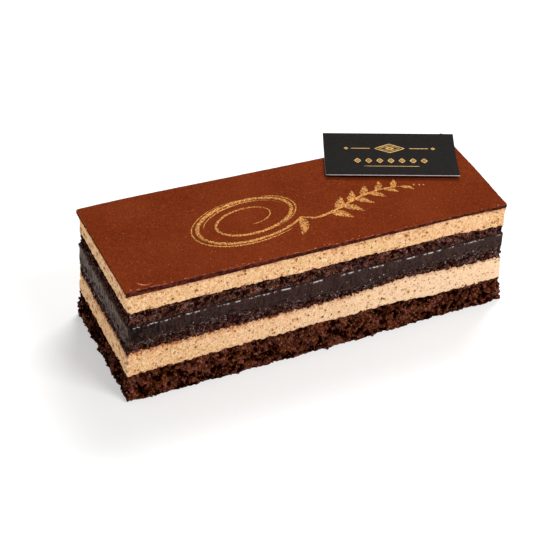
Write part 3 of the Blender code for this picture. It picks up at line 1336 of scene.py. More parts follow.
@dataclass(frozen=True)
class Sponge(Layer):
    """Sponge: clumps of crumb with hollows between them and holes where bubbles were cut.

    clump is the size of a clump and depth that of its relief, stands_out how far the whole side stands
    out, in millimetres, and soaked how far up the layer the syrup starts and is full.
    """

    clump: float = 1.5
    depth: float = 1.0
    stands_out: float = 0.0
    soaked: Pair = (1.0, 2.0)

    def relief(self, wall: Wall) -> Relief:
        """Adds broad swells, clumps at different depths, gaps and pits between clumps, holes and grain.

        A lump stands out by the sum of these times depth, at most by MOST_OUT. Near the floor the side is
        ragged instead, and towards the front it spreads.

        Args:
            wall: places on the layer's side.

        Returns:
            The distance outwards, the relief from 0 in the hollows to 1 on the crests, lower on the left
            end, which the finish paints as shade and light, and how much syrup has soaked in.
        """
        clump, seed, points = self.clump, self.seed, wall.points
        shift = [Noise.smooth(points / (0.7 * clump), seed + 20 + axis) for axis in range(3)]
        warped = points + 0.45 * clump * np.stack(shift, axis=-1)
        swells = wall.noise(2.4 * clump, 3, seed)
        first, second, label = Noise.cells(warped / clump, seed + 1)
        gaps = ease(0.25, 0.0, second - first)
        pits = ease(0.08, 0.42, Noise.fractal(warped / (1.05 * clump), 2, seed + 4))
        bubble, _, size = Noise.cells(points / (1.3 * clump), seed + 2)
        radius = 0.12 + 0.3 * size
        holes = ease(radius, 0.4 * radius, bubble)
        near, far, bit = Noise.cells(warped / (0.36 * clump), seed + 3)
        grain = 0.6 * (0.5 - near) + 0.5 * (bit - 0.5) - 0.5 * ease(0.2, 0.0, far - near)
        height = 0.35 * swells + 0.5 * (label - 0.5) - 0.4 * gaps - 0.75 * pits - 0.75 * holes
        height = height + 0.45 * grain
        base = ease(1.8, 0.0, points[..., 2])
        foot = 0.7 * wall.noise((4.0, 4.0, 9.0), 4, seed + 6)
        front, end = ease(0.3, 0.9, -wall.outward[..., 1]), ease(0.4, 0.9, -wall.outward[..., 0])
        spread = np.interp(wall.x, *FOOT_SPREAD) * ease(8.0, 0.0, points[..., 2]) * front
        out = self.stands_out + self.depth * 0.7 * (height + 0.15) * (1 - 0.6 * base) + foot * base
        # painted shade: the relief, which the finish turns into colour, is lower and so darker on the left
        # end
        relief = np.clip(0.74 - 0.22 * end + 0.7 * height, 0, 1)
        soak = ease(*self.soaked, wall.share + 0.35 * swells)
        return np.minimum(out, MOST_OUT) + spread, {"relief": relief, "soak": soak}


@dataclass(frozen=True)
class Cream(Layer):
    """Butter cream: nearly flat, with round air holes, and stained where it meets the layer above.

    pore_cell is the distance between its small holes in millimetres and pore_share the share of places
    that hold one. stain is the depth of its stain, and pale that of its painted light, which makes it
    paler towards the right; both go from 0 to 1.
    """

    pore_cell: float = 1.25
    pore_share: float = 0.5
    stain: float = 0.0
    pale: float = 0.0

    def holes(self, wall: Wall, left: Floats) -> tuple[Floats, Floats, Floats]:
        """Air holes: small ones, large ones and, on the left end, shallow upright spots.

        A hole is round where the distance to its cell's seed is below a radius that its cell gives.

        Args:
            wall: places on the layer's side.
            left: 1 on the left end.

        Returns:
            How much of a place is small hole, large hole and spot.
        """
        stretched = wall.points * (1, 1, 1.15)
        near, _, size = Noise.cells(stretched / self.pore_cell, self.seed + 1)
        radius = 0.3 * np.clip(size - 1 + self.pore_share, 0, 1) / self.pore_share / self.pore_cell
        small = ease(radius, 0.35 * radius, near) * (radius > 0.05)
        close, _, kind = Noise.cells(stretched / WIDE_CELL, self.seed + 2)
        wide = (0.25 + 0.35 * kind + 0.5 * left) / WIDE_CELL
        large = ease(wide, 0.5 * wide, close) * (kind > 0.55 - 0.3 * left)
        bent = wall.points + 0.5 * Noise.smooth(wall.points / 0.9, self.seed + 7)[..., None]
        spot, _, kept = Noise.cells(bent * (0.0, 0.34, 0.5) + 0.5, self.seed + 8)
        return small, large, left * ease(0.48, 0.1, spot) * ease(0.42, 0.6, kept)

    def stains(self, wall: Wall, band: Floats) -> Floats:
        """Stains below the upper seam: patches, a thin edge, and a rim and a halo that fade to the right.

        Args:
            wall: places on the layer's side.
            band: slow noise that says where the patches reach deepest.

        Returns:
            How much of a place is stained: the most of the four.
        """
        share = wall.share
        stained = self.stain * ease(0.75 - 0.45 * band, 1.02, share) * ease(-0.5, 0.5, band)
        patchy = 0.4 + 0.6 * ease(-0.4, 0.3, wall.noise(2.5, 2, self.seed + 5))
        edge = (0.4 + 0.6 * self.stain) * patchy * ease(0.88, 0.98, share)
        rim = (0.75 + 0.25 * patchy) * ease(0.9, 0.98, share) * (1 - 0.6 * ease(-15.0, 25.0, wall.x))
        halo = 0.65 * (0.5 + 0.5 * patchy) * ease(0.76, 0.97, share) * ease(25.0, -30.0, wall.x)
        return np.clip(np.max([stained, edge, rim, halo], axis=0), 0, 1)

    def relief(self, wall: Wall) -> Relief:
        """Adds slow waves, fine drag marks and air holes.

        Args:
            wall: places on the layer's side.

        Returns:
            The distance outwards, how much of a place is hole, how much is stained, how much is painted
            paler as painted light, and 1 on the end that stays in the shade.
        """
        left = ease(LEFT_END + 1, LEFT_END, wall.x)
        waves = 0.16 * wall.noise(5.0, 2, self.seed)
        ripple = 0.05 * Noise.fractal(wall.points * (1.1, 1.1, 0.6), 3, self.seed + 40)
        small, large, spots = self.holes(wall, left)
        out = waves + ripple - 0.3 * small - 0.5 * large - 0.12 * spots
        large = np.maximum(large * (1 - 0.5 * left), 0.85 * spots)
        band = Noise.smooth(wall.points / (5.0, 5.0, 9.0), self.seed + 3)
        # painted light: paler towards the right, and in patches on the left end that stays in the shade
        pale = self.pale * ease(-50.0, 40.0, wall.x) + 0.15 * left * ease(-0.9, 0.4, band)
        pore = np.clip(0.75 * np.maximum(small, large), 0, 1)
        return out, {"pore": pore, "stain": self.stains(wall, band), "pale": pale, "shaded": left}


@dataclass(frozen=True)
class Ganache(Layer):
    """Ganache: smooth, with a broken lip along its upper edge and the drag of the knife at the left end."""

    lip: float = 0.3

    def relief(self, wall: Wall) -> Relief:
        """Adds a broken lip near the upper edge, streaks that run down, dents near the lower one and tears.

        The tears are the deepest of three: a torn front corner, pits low on the left end, and strokes
        that the knife dragged into the front near that end.

        Args:
            wall: places on the layer's side.

        Returns:
            The distance outwards, and where it is wet, where the knife's scrape is, and where it is torn or
            dented, which the finish paints near black as shade.
        """
        points, share, seed = wall.points, wall.share, self.seed
        left = ease(LEFT_END + 10, LEFT_END, wall.x)
        streaks = Noise.fractal(points * (0.8, 0.8, 0.1), 3, seed)
        corner = ease(-48.0, -56.0, wall.x) * ease(-19.0, -21.5, points[..., 1])
        torn = ease(-0.08, 0.25, Noise.fractal(points * (1.1, 1.1, 0.4), 2, seed + 3)) * corner
        pits = ease(0.1, 0.45, Noise.fractal(points * (1.0, 0.7, 0.7), 2, seed + 6)) * ease(0.7, 0.3, share)
        drag = ease(0.05, 0.4, Noise.fractal(points * (1.2, 1.2, 0.3), 2, seed + 9))
        dragged = 0.55 * drag * ease(-25.0, -56.0, wall.x) * (1 - left)
        torn = np.max([torn, left * pits, dragged], axis=0)
        dents = ease(0.15, 0.6, Noise.smooth(points / 1.1, seed + 1)) * ease(0.7, 0.1, share) + 1.4 * torn
        scrape = ease(0.4, 0.9, -wall.outward[..., 0])
        flat = points * (1.0, 1.0, 0.0)
        broken = ease(-0.1, 0.25, Noise.fractal(flat * 0.55, 5, seed + 2))
        lip = self.lip * ease(0.82, 0.95, share) * (0.35 + 0.65 * broken)
        lip = lip + 0.05 * Noise.fractal(flat / 1.2, 2, seed + 4)
        out = 0.2 + lip + (0.03 + 0.26 * left) * streaks - 0.3 * dents
        brim = ease(0.962, 0.995, share) * ease(1.024, 1.0, share)
        # painted shade: the tears and dents, which are recessed, are coloured near black
        gaps = np.clip(torn + 0.7 * dents, 0, 1)
        return out, {"wet": brim * broken * (1 - scrape), "scrape": scrape, "torn": gaps}


@dataclass(frozen=True)
class Glaze(Layer):
    """Glaze: a thin dark band at the side and a flat, finely waved top."""

    overhang: float = 0.22

    def relief(self, wall: Wall) -> Relief:
        """Rounds the side over at its upper edge as a quarter of a circle, and chips it unevenly.

        Args:
            wall: places on the layer's side.

        Returns:
            The distance outwards, 1 for the cut side, and 1 for its rim, which the finish paints as a
            highlight.
        """
        bulge = np.sqrt(1 - np.clip(wall.share, 0, 1) ** 2)
        chips = ease(0.45, 0.8, wall.noise((1.6, 1.6, 3.0), 2, self.seed))
        ragged = 0.07 * wall.noise(1.5, 2, self.seed + 1) - 0.25 * chips
        cut = ease(LEFT_END, LEFT_END + 0.8, wall.x)
        out = self.overhang * (0.25 + 0.75 * bulge) + ragged - 0.3 * (1 - cut)
        return out, {"cut": cut, "rim": ease(0.84, 0.95, wall.share)}

    def build(self, bar: Bar) -> Piece:
        """Makes the side as the other layers do, and the top as rings that shrink in to the spine.

        Args:
            bar: the bar of cake.

        Returns:
            The new piece.
        """
        spots = bar.outline.walk(self.spacing)
        shell = Shell(bar.outline, spots)
        side, values = self.side(bar, spots, np.linspace(0, 0.97, 7), self.tuck_below, ())
        place = self.painter(bar)
        inward = np.concatenate([[0.004, 0.012, 0.025], np.linspace(0.05, 0.97, 44)])
        rings = [bar.drawn_in(place(shell.inward(spots, float(part)))) for part in inward]
        spines = [shell.spine(float(np.mean(side[0, :, 2]))), place(shell.spine(0.0)[:, :2])]
        return self.shell_piece(shell, [side, *rings, *spines], values)

    def painter(self, bar: Bar) -> Callable[..., Floats]:
        """A function that places plan positions at heights above the glaze, in millimetres."""

        def place(flat: Floats, lift: Floats | float = 0.0) -> Floats:
            """Adds the top plane, slow waves a twentieth of a millimetre deep, and the lift."""
            waves = Noise.fractal(np.concatenate([flat / 7.0, 0 * flat[:, :1] + 0.5], axis=-1), 2, 77)
            height = bar.top_at(flat) - 0.06 + 0.05 * waves + lift
            return np.concatenate([flat, height[:, None]], axis=-1)

        return place


def lump() -> tuple[Floats, Whole]:
    """The shape that all crumbs share: an octahedron with each face divided in four, on a unit ball.

    The octahedron's six tips come first, then the middles of its twelve edges, pushed out to the ball.

    Returns:
        Eighteen points, and thirty-two three-cornered faces that face out.
    """
    tips = np.concatenate([np.eye(3), -np.eye(3)])
    signs = np.array(list(product((1, -1), repeat=3)))
    corners = np.arange(3) + 3 * (signs < 0)
    turned_over = np.prod(signs, axis=1) < 0
    corners[turned_over] = corners[turned_over][:, ::-1]
    edges = np.sort(np.stack([corners, np.roll(corners, -1, axis=1)], axis=-1), axis=-1)
    pairs, number = np.unique(edges.reshape(-1, 2), axis=0, return_inverse=True)
    halves = tips[pairs].sum(axis=1)
    points = np.concatenate([tips, halves / np.linalg.norm(halves, axis=-1, keepdims=True)])
    a, b, c = corners.T
    ab, bc, ca = (number.reshape(-1, 3) + len(tips)).T
    faces = np.stack([[a, ab, ca], [b, bc, ab], [c, ca, bc], [ab, bc, ca]])
    return points, np.moveaxis(faces, 1, -1).reshape(-1, 3)


@dataclass(frozen=True)
class Crumbs:
    """Crumbs that cling to the cut side of a layer, as one joined piece.

    spread gives the part of the layer's height that they cling to, from low to high, size the smallest
    and largest radius in millimetres, and soak how much syrup they hold, from 0 to 1. The others are
    ranges: how far a middle stands out in radii, the stretch along each axis, the roughness of each
    point, and the brightness, where the brightest crumbs are wet; in the wet-crumb finish these carry
    a painted glint.
    """

    name: str
    host: Layer
    finish: Finish
    count: int
    size: Pair
    spread: Pair
    seed: int
    soak: float = 0.0
    stands_out: Pair = (-0.45, 0.35)
    stretch: Pair = (0.6, 1.25)
    rough: Pair = (0.72, 1.15)
    shade: Pair = (0.35, 0.95)
    wet_from: float = 0.88

    def build(self, bar: Bar) -> Piece:
        """Strews the crumbs evenly round the bar, each with its own turn, stretch and roughness.

        Args:
            bar: the bar of cake.

        Returns:
            The new piece.
        """
        random = np.random.default_rng(self.seed)
        spots = bar.outline.spots(random.uniform(0, bar.outline.starts[-1], self.count))
        share = random.uniform(*self.spread, self.count)
        centre, _ = self.host.surface(bar, spots, share)
        radius = self.size[0] + (self.size[1] - self.size[0]) * random.power(0.45, self.count)
        out = random.uniform(*self.stands_out, self.count) * radius
        centre[:, :2] += spots.outward * out[:, None]
        centre[:, 2] = np.maximum(centre[:, 2], 0.75 * radius)
        ball, faces = lump()
        turn, _ = np.linalg.qr(random.normal(size=(self.count, 3, 3)))
        stretch = random.uniform(*self.stretch, (self.count, 1, 3))
        rough = random.uniform(*self.rough, (self.count, len(ball), 1))
        shape = np.einsum("kij,knj->kni", turn, ball * stretch * rough) * radius[:, None, None]
        mirrored = np.linalg.det(turn) < 0
        shape[mirrored] = -shape[mirrored]
        points = np.maximum(centre[:, None] + shape, [-np.inf, -np.inf, 0.02]).reshape(-1, 3)
        numbers = faces[None] + len(ball) * np.arange(self.count)[:, None, None]
        relief = np.repeat(random.uniform(*self.shade, self.count), len(ball))
        values = {"relief": relief, "wet": 1.0 * (relief > self.wet_from), "soak": 0 * relief + self.soak}
        material = self.finish.material()
        made = make_piece(self.name, points, [numbers.reshape(-1, 3)], material, values, smooth=False)
        return made


BOTTOM = Sponge(
    "sponge_bottom", "sponge", BOTTOM_SPONGE, 0.23,
    clump=2.0, depth=1.25, stands_out=-0.1,
)
LOWER_CREAM = Cream("cream_lower", "cream", COFFEE_CREAM, pore_cell=1.05, pore_share=0.6, pale=0.5)
MIDDLE = Sponge(
    "sponge_middle", "soaked_sponge", SOAKED_SPONGE, 0.22,
    clump=1.0, depth=0.7, stands_out=-0.1, soaked=(0.1, 0.9),
)
DARK = Ganache(
    "ganache", "ganache", DARK_GANACHE, 0.3,
    tuck_above=((0.07, 0.08), (0.14, 0.17), (0.2, 0.28), (0.26, 0.6), (0.7, 1.2)),
)
UPPER = Sponge(
    "sponge_upper", "soaked_sponge", SOAKED_SPONGE, 0.22,
    clump=1.05, depth=0.75, stands_out=-0.2, soaked=(0.55, -0.2),
)
UPPER_CREAM = Cream("cream_upper", "cream", COFFEE_CREAM, stain=0.85)
GLAZE = Glaze("glaze", "glaze", COCOA_GLAZE, 0.4, 0.0, tuck_below=((0.15, 0.16), (0.3, 0.34)))

STACK = (BOTTOM, LOWER_CREAM, MIDDLE, DARK, UPPER, UPPER_CREAM, GLAZE)

CRUMBS = (
    Crumbs("crumbs_bottom", BOTTOM, BOTTOM_SPONGE, 2400, (0.16, 0.62), (0.08, 1.0), 31),
    Crumbs("crumbs_base_edge", BOTTOM, BOTTOM_SPONGE, 130, (0.25, 0.6), (0.0, 0.06), 32),
    Crumbs("crumbs_bottom_seam", BOTTOM, BOTTOM_SPONGE, 700, (0.14, 0.4), (0.93, 1.03), 33),
    Crumbs("crumbs_middle", MIDDLE, SOAKED_SPONGE, 1700, (0.09, 0.3), (-0.04, 1.0), 34, soak=0.5),
    Crumbs("crumbs_upper", UPPER, SOAKED_SPONGE, 2100, (0.09, 0.32), (0.0, 1.07), 35, soak=0.3),
    Crumbs("crumbs_ganache_seam", MIDDLE, WET_CRUMB, 1800, (0.08, 0.3), (0.5, 1.42), 36),
    Crumbs("crumbs_ganache_low", DARK, WET_CRUMB, 1100, (0.06, 0.2), (-0.05, 0.25), 38),
    Crumbs("crumbs_ganache_side", DARK, WET_CRUMB, 900, (0.05, 0.17), (0.15, 0.52), 39),
    Crumbs("crumbs_stray", LOWER_CREAM, BOTTOM_SPONGE, 16, (0.25, 0.6), (0.0, 0.4), 37),
)


@dataclass(frozen=True)
class Brush:
    """Paints strokes on a surface as bundles of thin closed strands.

    surface places points given by two surface coordinates and a height above it, in millimetres. The
    cross-section of a strand is an ellipse with some sides; where the paint is dry a strand sinks in.
    """

    surface: Callable[..., Floats]
    bristles: int = 8
    sides: int = 5
    thickness: float = 0.07
    dryness: float = 0.0

    def stroke(self, path: Floats, width: Floats, seed: int = 0, closed: bool = False) -> Parts:
        """One stroke: strands side by side along a path.

        Args:
            path: its middle line on the surface, as close points.
            width: its width at each point of the path, in millimetres.
            seed: a number that gives another set of dry places.
            closed: whether its ends meet.

        Returns:
            Points in millimetres, and arrays of corner numbers that start from 0.
        """
        if closed:
            ahead = np.roll(path, -1, axis=0) - np.roll(path, 1, axis=0)
        else:
            ahead = np.gradient(path, axis=0)
        ahead = ahead / np.linalg.norm(ahead, axis=-1, keepdims=True)
        aside = np.stack([-ahead[:, 1], ahead[:, 0]], axis=-1)
        lane = (np.arange(self.bristles) + 0.5) / self.bristles - 0.5
        angle = 2 * pi * (np.arange(self.sides) + 0.5) / self.sides
        centre = path[None] + lane[:, None, None] * (width[:, None] * aside)[None]
        wobble = np.concatenate([centre, 0 * centre[..., :1] + 1.3 * seed], axis=-1)
        rough = ease(0.0, 0.5, Noise.fractal(wobble * (2.6, 2.6, 1.0), 2, seed))
        dry = self.dryness * rough * (2 * np.abs(lane[:, None])) ** 1.5
        half = width[None] * (0.62 / self.bristles) + 0 * dry
        across = half[..., None] * np.cos(angle)
        lift = self.thickness * (np.sin(angle) + 0.35) - dry[..., None]
        spread = centre[:, :, None] + across[..., None] * aside[None, :, None]
        points = self.surface(spread.reshape(-1, 2), lift.ravel())
        return points, self.faces(len(path), closed)

    def faces(self, rings: int, closed: bool) -> list[Whole]:
        """Faces of all strands of a stroke: their sides, and their ends unless the stroke is closed."""
        size = rings * self.sides
        starts = (np.arange(self.bristles) * size)[:, None, None]
        side = ring_faces(rings, self.sides)
        if closed:
            last = ring_faces(2, self.sides)
            side = np.concatenate([side, np.where(last < self.sides, last + size, last) - self.sides])
            return [(side[None] + starts).reshape(-1, 4)]
        ends = np.stack([np.arange(self.sides)[::-1], size - self.sides + np.arange(self.sides)])
        return [(side[None] + starts).reshape(-1, 4), (ends[None] + starts).reshape(-1, self.sides)]


@dataclass(frozen=True)
class Pen(Brush):
    """Draws even lines on a surface, each as one flat strand."""

    bristles: int = 1
    sides: int = 4
    thickness: float = 0.02

    def lozenge(self, middle: Pair, long: float, deep: float, width: float) -> Parts:
        """A closed lozenge about its middle, from its half diagonals and the width of its line."""
        tips = np.array([(long, 0), (0, deep), (-long, 0), (0, -deep)]) + middle
        runs = [np.linspace(a, b, 6, endpoint=False) for a, b in zip(tips, np.roll(tips, -1, axis=0))]
        return self.stroke(np.concatenate(runs), np.full(6 * len(runs), width), closed=True)

    def rule(self, start: Pair, end: Pair, width: float) -> Parts:
        """A straight line of some width."""
        return self.stroke(np.linspace(start, end, 12), np.full(12, width))


def joined(strokes: Sequence[Parts]) -> Parts:
    """Several sets of points and faces as one.

    Args:
        strokes: pairs of points and arrays of corner numbers.

    Returns:
        All the points, and all the arrays with their numbers moved on.
    """
    first = 0
    faces = []
    for points, parts in strokes:
        faces += [part + first for part in parts]
        first += len(points)
    return np.concatenate([points for points, _ in strokes]), faces


def turned(flat: Floats, angle: float) -> Floats:
    """Plan positions turned about the origin, counter-clockwise by an angle in radians."""
    return flat @ np.array([(cos(angle), sin(angle)), (-sin(angle), cos(angle))])


def curve(knots: Sequence[Pair] | Floats, step: float = 0.3) -> Floats:
    """A smooth path through some knots: a Catmull-Rom curve, with points at even steps.

    Args:
        knots: the places it goes through.
        step: the distance between its points, in millimetres.

    Returns:
        The points of the path.
    """
    knot = np.array(knots, float)
    knot = np.concatenate([2 * knot[:1] - knot[1:2], knot, 2 * knot[-1:] - knot[-2:-1]])
    share = np.linspace(0, 1, 24, endpoint=False)[:, None]
    spans = []
    for a, b, c, d in zip(knot, knot[1:], knot[2:], knot[3:]):
        bent = (2 * a - 5 * b + 4 * c - d) * share**2 + (3 * b - a - 3 * c + d) * share**3
        spans.append(b + 0.5 * ((c - a) * share + bent))
    return evenly(np.concatenate([*spans, knot[-2:-1]]), step)


def evenly(path: Floats, step: float) -> Floats:
    """The same path with its points at even steps."""
    gone = np.concatenate([[0], np.cumsum(np.linalg.norm(np.diff(path, axis=0), axis=-1))])
    at = np.linspace(0, gone[-1], max(4, round(gone[-1] / step)))
    return np.stack([np.interp(at, gone, part) for part in path.T], axis=-1)


def tapered(path: Floats, width: float, start: float = 0.5, end: float = 1.0) -> Floats:
    """Widths along a path: powers that grow over its first three tenths and shrink over its last half.

    Args:
        path: the path.
        width: the full width, in millimetres.
        start: a small power for a blunt start, a large one for a sharp start.
        end: the same for the end.

    Returns:
        One width for each point.
    """
    share = np.linspace(0, 1, len(path))
    rise = np.clip(share / 0.3, 0, 1) ** start
    fall = np.clip((1 - share) / 0.5, 0, 1) ** end
    return width * np.maximum(rise * fall, 0.04)


@dataclass(frozen=True)
class GoldOrnament:
    """A gold flourish on the glaze: an oval volute whose tail is a twig with brushed leaves.

    The volute starts at an angle on its outer oval, and shrink is how much of its radii is gone after all
    its turns. echoes are thin strokes beside it: a growth, and the shares of all turns that each spans.
    twig has the knots of its path, and dots the distances of the dots beyond its tip. The leaves stand
    along it from one share of its length in even steps, and each is smaller than the one before.
    """

    middle: Pair = (-14.6, -0.6)
    radii: Pair = (18.2, 10.6)
    tilt: float = radians(11)
    start: float = -0.75
    turns: float = 2.15
    shrink: float = 0.72
    echoes: tuple[tuple[float, float, float], ...] = ((1.11, 0.03, 0.3), (1.1, 0.34, 0.5), (0.88, 0.2, 0.4))
    twig: Pairs = ((4.5, -7.2), (12.5, -5.0), (20.5, -1.9), (28.5, -0.6), (36.5, -1.6))
    leaves: int = 11
    leaf_places: Pair = (0.24, 0.069)
    leaf_size: Pair = (7.4, 2.9)
    leaf_shrink: Pair = (0.3, 0.11)
    leaf_angle: float = radians(50)
    dots: tuple[float, ...] = (1.6, 3.1, 4.4)

    def volute(self, grow: float, first: float, last: float) -> Floats:
        """Part of the spiral: an oval whose radii shrink with the angle walked.

        Args:
            grow: a factor on both radii.
            first: where it starts, as a share of all turns from the outer end.
            last: where it ends.

        Returns:
            Its path on the glaze.
        """
        share = np.linspace(first, last, 400)
        angle = self.start - 2 * pi * self.turns * share
        size = grow * (1 - self.shrink * share**1.35)
        oval = np.stack([size * np.cos(angle), size * np.sin(angle)], axis=-1) * self.radii
        return evenly(turned(oval, self.tilt) + self.middle, 0.3)

    def build(self, bar: Bar, glaze: Glaze) -> Piece:
        """Paints the volute, the twig, its leaves and three dots as one joined piece.

        Args:
            bar: the bar of cake.
            glaze: the layer that it is painted on.

        Returns:
            The new piece.
        """
        brush = Brush(glaze.painter(bar), dryness=0.3)
        thin = Brush(glaze.painter(bar), bristles=5, dryness=0.22)
        outer = self.volute(1.0, 0.0, 1.0)
        strokes = [brush.stroke(outer, tapered(outer, 1.25, 0.2, 0.5), 1)]
        for echo in self.echoes:
            path = self.volute(*echo)
            strokes.append(thin.stroke(path, tapered(path, 0.55), 2))
        twig = curve([outer[0], *self.twig])
        strokes.append(thin.stroke(twig, tapered(twig, 1.0, 0.2, 0.7), 3))
        strokes.append(brush.stroke(*self.leaf(outer[0], radians(-112), 9.5, 2.8), 4))
        for order in range(self.leaves):
            root = twig[round(len(twig) * (self.leaf_places[0] + self.leaf_places[1] * order))]
            angle = (1 if order % 2 else -1) * self.leaf_angle + 0.14
            size = [full - less * order for full, less in zip(self.leaf_size, self.leaf_shrink)]
            strokes.append(brush.stroke(*self.leaf(root, angle, *size), 5 + order))
        for order, reach in enumerate(self.dots):
            start = twig[-1] + np.array([reach, -0.35 * reach])
            dot = evenly(np.array([start, start + np.array([0.75 - 0.15 * order, 0.2])]), 0.15)
            strokes.append(thin.stroke(dot, tapered(dot, 0.9 - 0.16 * order, 0.3, 0.3), 20 + order))
        made = make_piece("gold_ornament", *joined(strokes), BRUSHED_GOLD.material())
        return made

    def leaf(self, root: Floats, angle: float, length: float, width: float) -> tuple[Floats, Floats]:
        """A brushed leaf: a path that bulges towards the tip of the twig, and its widths."""
        side = -np.sign(sin(angle))
        knots = length * np.array([(0, 0), (0.5, 0.1 * side), (1, 0.02 * side)])
        path = curve(root + turned(knots, angle), 0.25)
        return path, tapered(path, width, 0.6, 0.8)


@dataclass(frozen=True)
class ScuffsAndHighlights:
    """Pale scuffs of the glaze: slivers along its front rim and a bent double scratch near a corner.

    The slivers are chips that are also a painted highlight of the rim, and the scratch is painted pale
    as its highlight. scratch has the knots of one of the scratches; the other one starts apart from it.
    """

    count: int = 60
    seed: int = 51
    scratch: Pairs = ((-55.6, -18.4), (-54.6, -19.7), (-53.0, -20.1), (-51.3, -19.6))
    apart: float = 0.35

    def build(self, bar: Bar, glaze: Glaze) -> Piece:
        """Strews the slivers, closest at the left, and adds the scratch.

        Args:
            bar: the bar of cake.
            glaze: the layer that is scuffed.

        Returns:
            The new piece.
        """
        random = np.random.default_rng(self.seed)
        brush = Brush(glaze.painter(bar), bristles=1, thickness=0.03)
        half_length, half_width = bar.outline.half_length, bar.outline.half_width
        strokes = []
        for _ in range(self.count):
            x = -half_length + 1.5 + 2 * (half_length - 2) * random.power(0.7)
            y = -half_width + 0.05 + 1.2 * random.random() ** 2
            length = random.uniform(0.25, 1.1)
            slope = random.normal(0, 0.12)
            path = curve([(x, y), (x + length / 2, y + slope * length), (x + length, y)], 0.2)
            strokes.append(brush.stroke(path, tapered(path, random.uniform(0.1, 0.25))))
        for shift in (0.0, self.apart):
            bent = curve(np.array(self.scratch) + [(0, shift), (0, shift), (0, 0), (0, 0)], 0.2)
            strokes.append(brush.stroke(bent, tapered(bent, 0.2)))
        made = make_piece("glaze_scuffs_and_highlights", *joined(strokes), SCUFF_AND_HIGHLIGHT_GLAZE.material())
        return made


@dataclass(frozen=True)
class Card:
    """The topper card: a pale core between two black sheets, printed on top and bent up at its far edge.

    face is the thickness of a sheet. The lower black sheet also stands in for the shadow under the
    card's front edge: a painted shadow. The rows are where the parts of the print lie across the card,
    and emblem has the half diagonals and the width of line of each lozenge of its emblem.
    """

    length: float = 40.6
    depth: float = 22.05
    middle: Pair = (38.22, 13.6)
    face: float = 0.16
    emblem: tuple[tuple[float, float, float], ...] = ((4.6, 2.1, 0.38), (3.2, 1.35, 0.25), (1.3, 0.5, 0.5))
    emblem_row: float = 4.0
    lozenge_row: float = -2.4
    lozenge_step: float = 3.4
    rule_row: float = -5.6

    def place(self, bar: Bar, flat: Floats, lift: Floats) -> Floats:
        """Points of the card from coordinates along it.

        The card lies on the glaze's slope, turned about its middle. It is bent, so that it rests on its
        belly: its height grows with the square of the way from there, to the full curl at the far edge.

        Args:
            bar: the bar of cake.
            flat: places along the length and the depth of the card, from its middle.
            lift: heights above its underside.

        Returns:
            Points in millimetres.
        """
        plan = turned(flat, CARD_TURN) + self.middle
        curl = CARD_CURL * ((flat[..., 1] / self.depth + 0.5 - CARD_BELLY) / (1 - CARD_BELLY)) ** 2
        height = bar.top_at(plan) + CARD_CLEARANCE + curl + lift
        return np.concatenate([plan, height[..., None]], axis=-1)

    def slab(self, bar: Bar, inset: float, low: float, high: float) -> Parts:
        """A sheet of the card: rings from the middle of its underside out, up and in again.

        Args:
            bar: the bar of cake.
            inset: how far its edges lie inside the card's, in millimetres.
            low: the height of its underside.
            high: the height of its face.

        Returns:
            Its points and faces.
        """
        along, across = self.length / 2 - inset, self.depth / 2 - inset
        corners = np.array([(-1, -1), (1, -1), (1, 1), (-1, 1), (-1, -1)]) * np.array([along, across])
        ring = np.concatenate([np.linspace(a, b, 24, endpoint=False) for a, b in zip(corners, corners[1:])])
        sizes = np.array([0.02, 0.25, 0.5, 0.75, 0.997, 1.0, 1.0, 0.997, 0.75, 0.5, 0.25, 0.02])
        half = len(sizes) // 2
        rise = np.concatenate([np.full(half - 1, low), [low + 0.02, high - 0.02], np.full(half - 1, high)])
        flat = sizes[:, None, None] * ring[None]
        points = self.place(bar, flat, rise[:, None] + np.zeros(len(ring))).reshape(-1, 3)
        last = (len(sizes) - 1) * len(ring)
        ends = np.stack([np.arange(len(ring))[::-1], last + np.arange(len(ring))])
        return points, [ring_faces(len(sizes), len(ring)), ends]

    def build(self, bar: Bar) -> list[Piece]:
        """Makes the core, the printed face, whose lower sheet is also a painted shadow, and the gold print.

        Args:
            bar: the bar of cake.

        Returns:
            The new pieces.
        """
        bare = self.slab(bar, 0.0, self.face, CARD_THICKNESS - self.face)
        core = make_piece("card_core", *bare, CARD_CORE.material(), smooth=False)
        # painted shadow: the lower black sheet stands in for the dark line under the card's front edge
        sheets = ((0.0, self.face), (CARD_THICKNESS - self.face, CARD_THICKNESS))
        printed = joined([self.slab(bar, 0.02, low, high) for low, high in sheets])
        face = make_piece("card_face", *printed, BLACK_CARD.material(), smooth=False)
        for piece in (core, face):
            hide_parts("topper_card")
        gold = make_piece("card_print", *self.print(bar), FOIL_GOLD.material(), smooth=False)
        return [core, face, gold]

    def print(self, bar: Bar) -> Parts:
        """The print: a double lozenge between two rules with dots, a row of lozenges, and a rule."""
        pen = Pen(lambda flat, lift: self.place(bar, flat, lift + CARD_THICKNESS))
        strokes = [pen.lozenge((0, self.emblem_row), *size) for size in self.emblem]
        for side in (-1, 1):
            strokes.append(pen.rule((side * 6.0, self.emblem_row), (side * 12.0, self.emblem_row), 0.3))
            strokes.append(pen.lozenge((side * 13.4, self.emblem_row), 0.55, 0.4, 0.4))
        for order in range(-3, 4):
            middle = (self.lozenge_step * order, self.lozenge_row)
            strokes += [pen.lozenge(middle, 0.9, 1.15, 0.45), pen.lozenge(middle, 0.2, 0.25, 0.3)]
        strokes.append(pen.rule((-8.5, self.rule_row), (8.5, self.rule_row), 0.28))
        return joined(strokes)


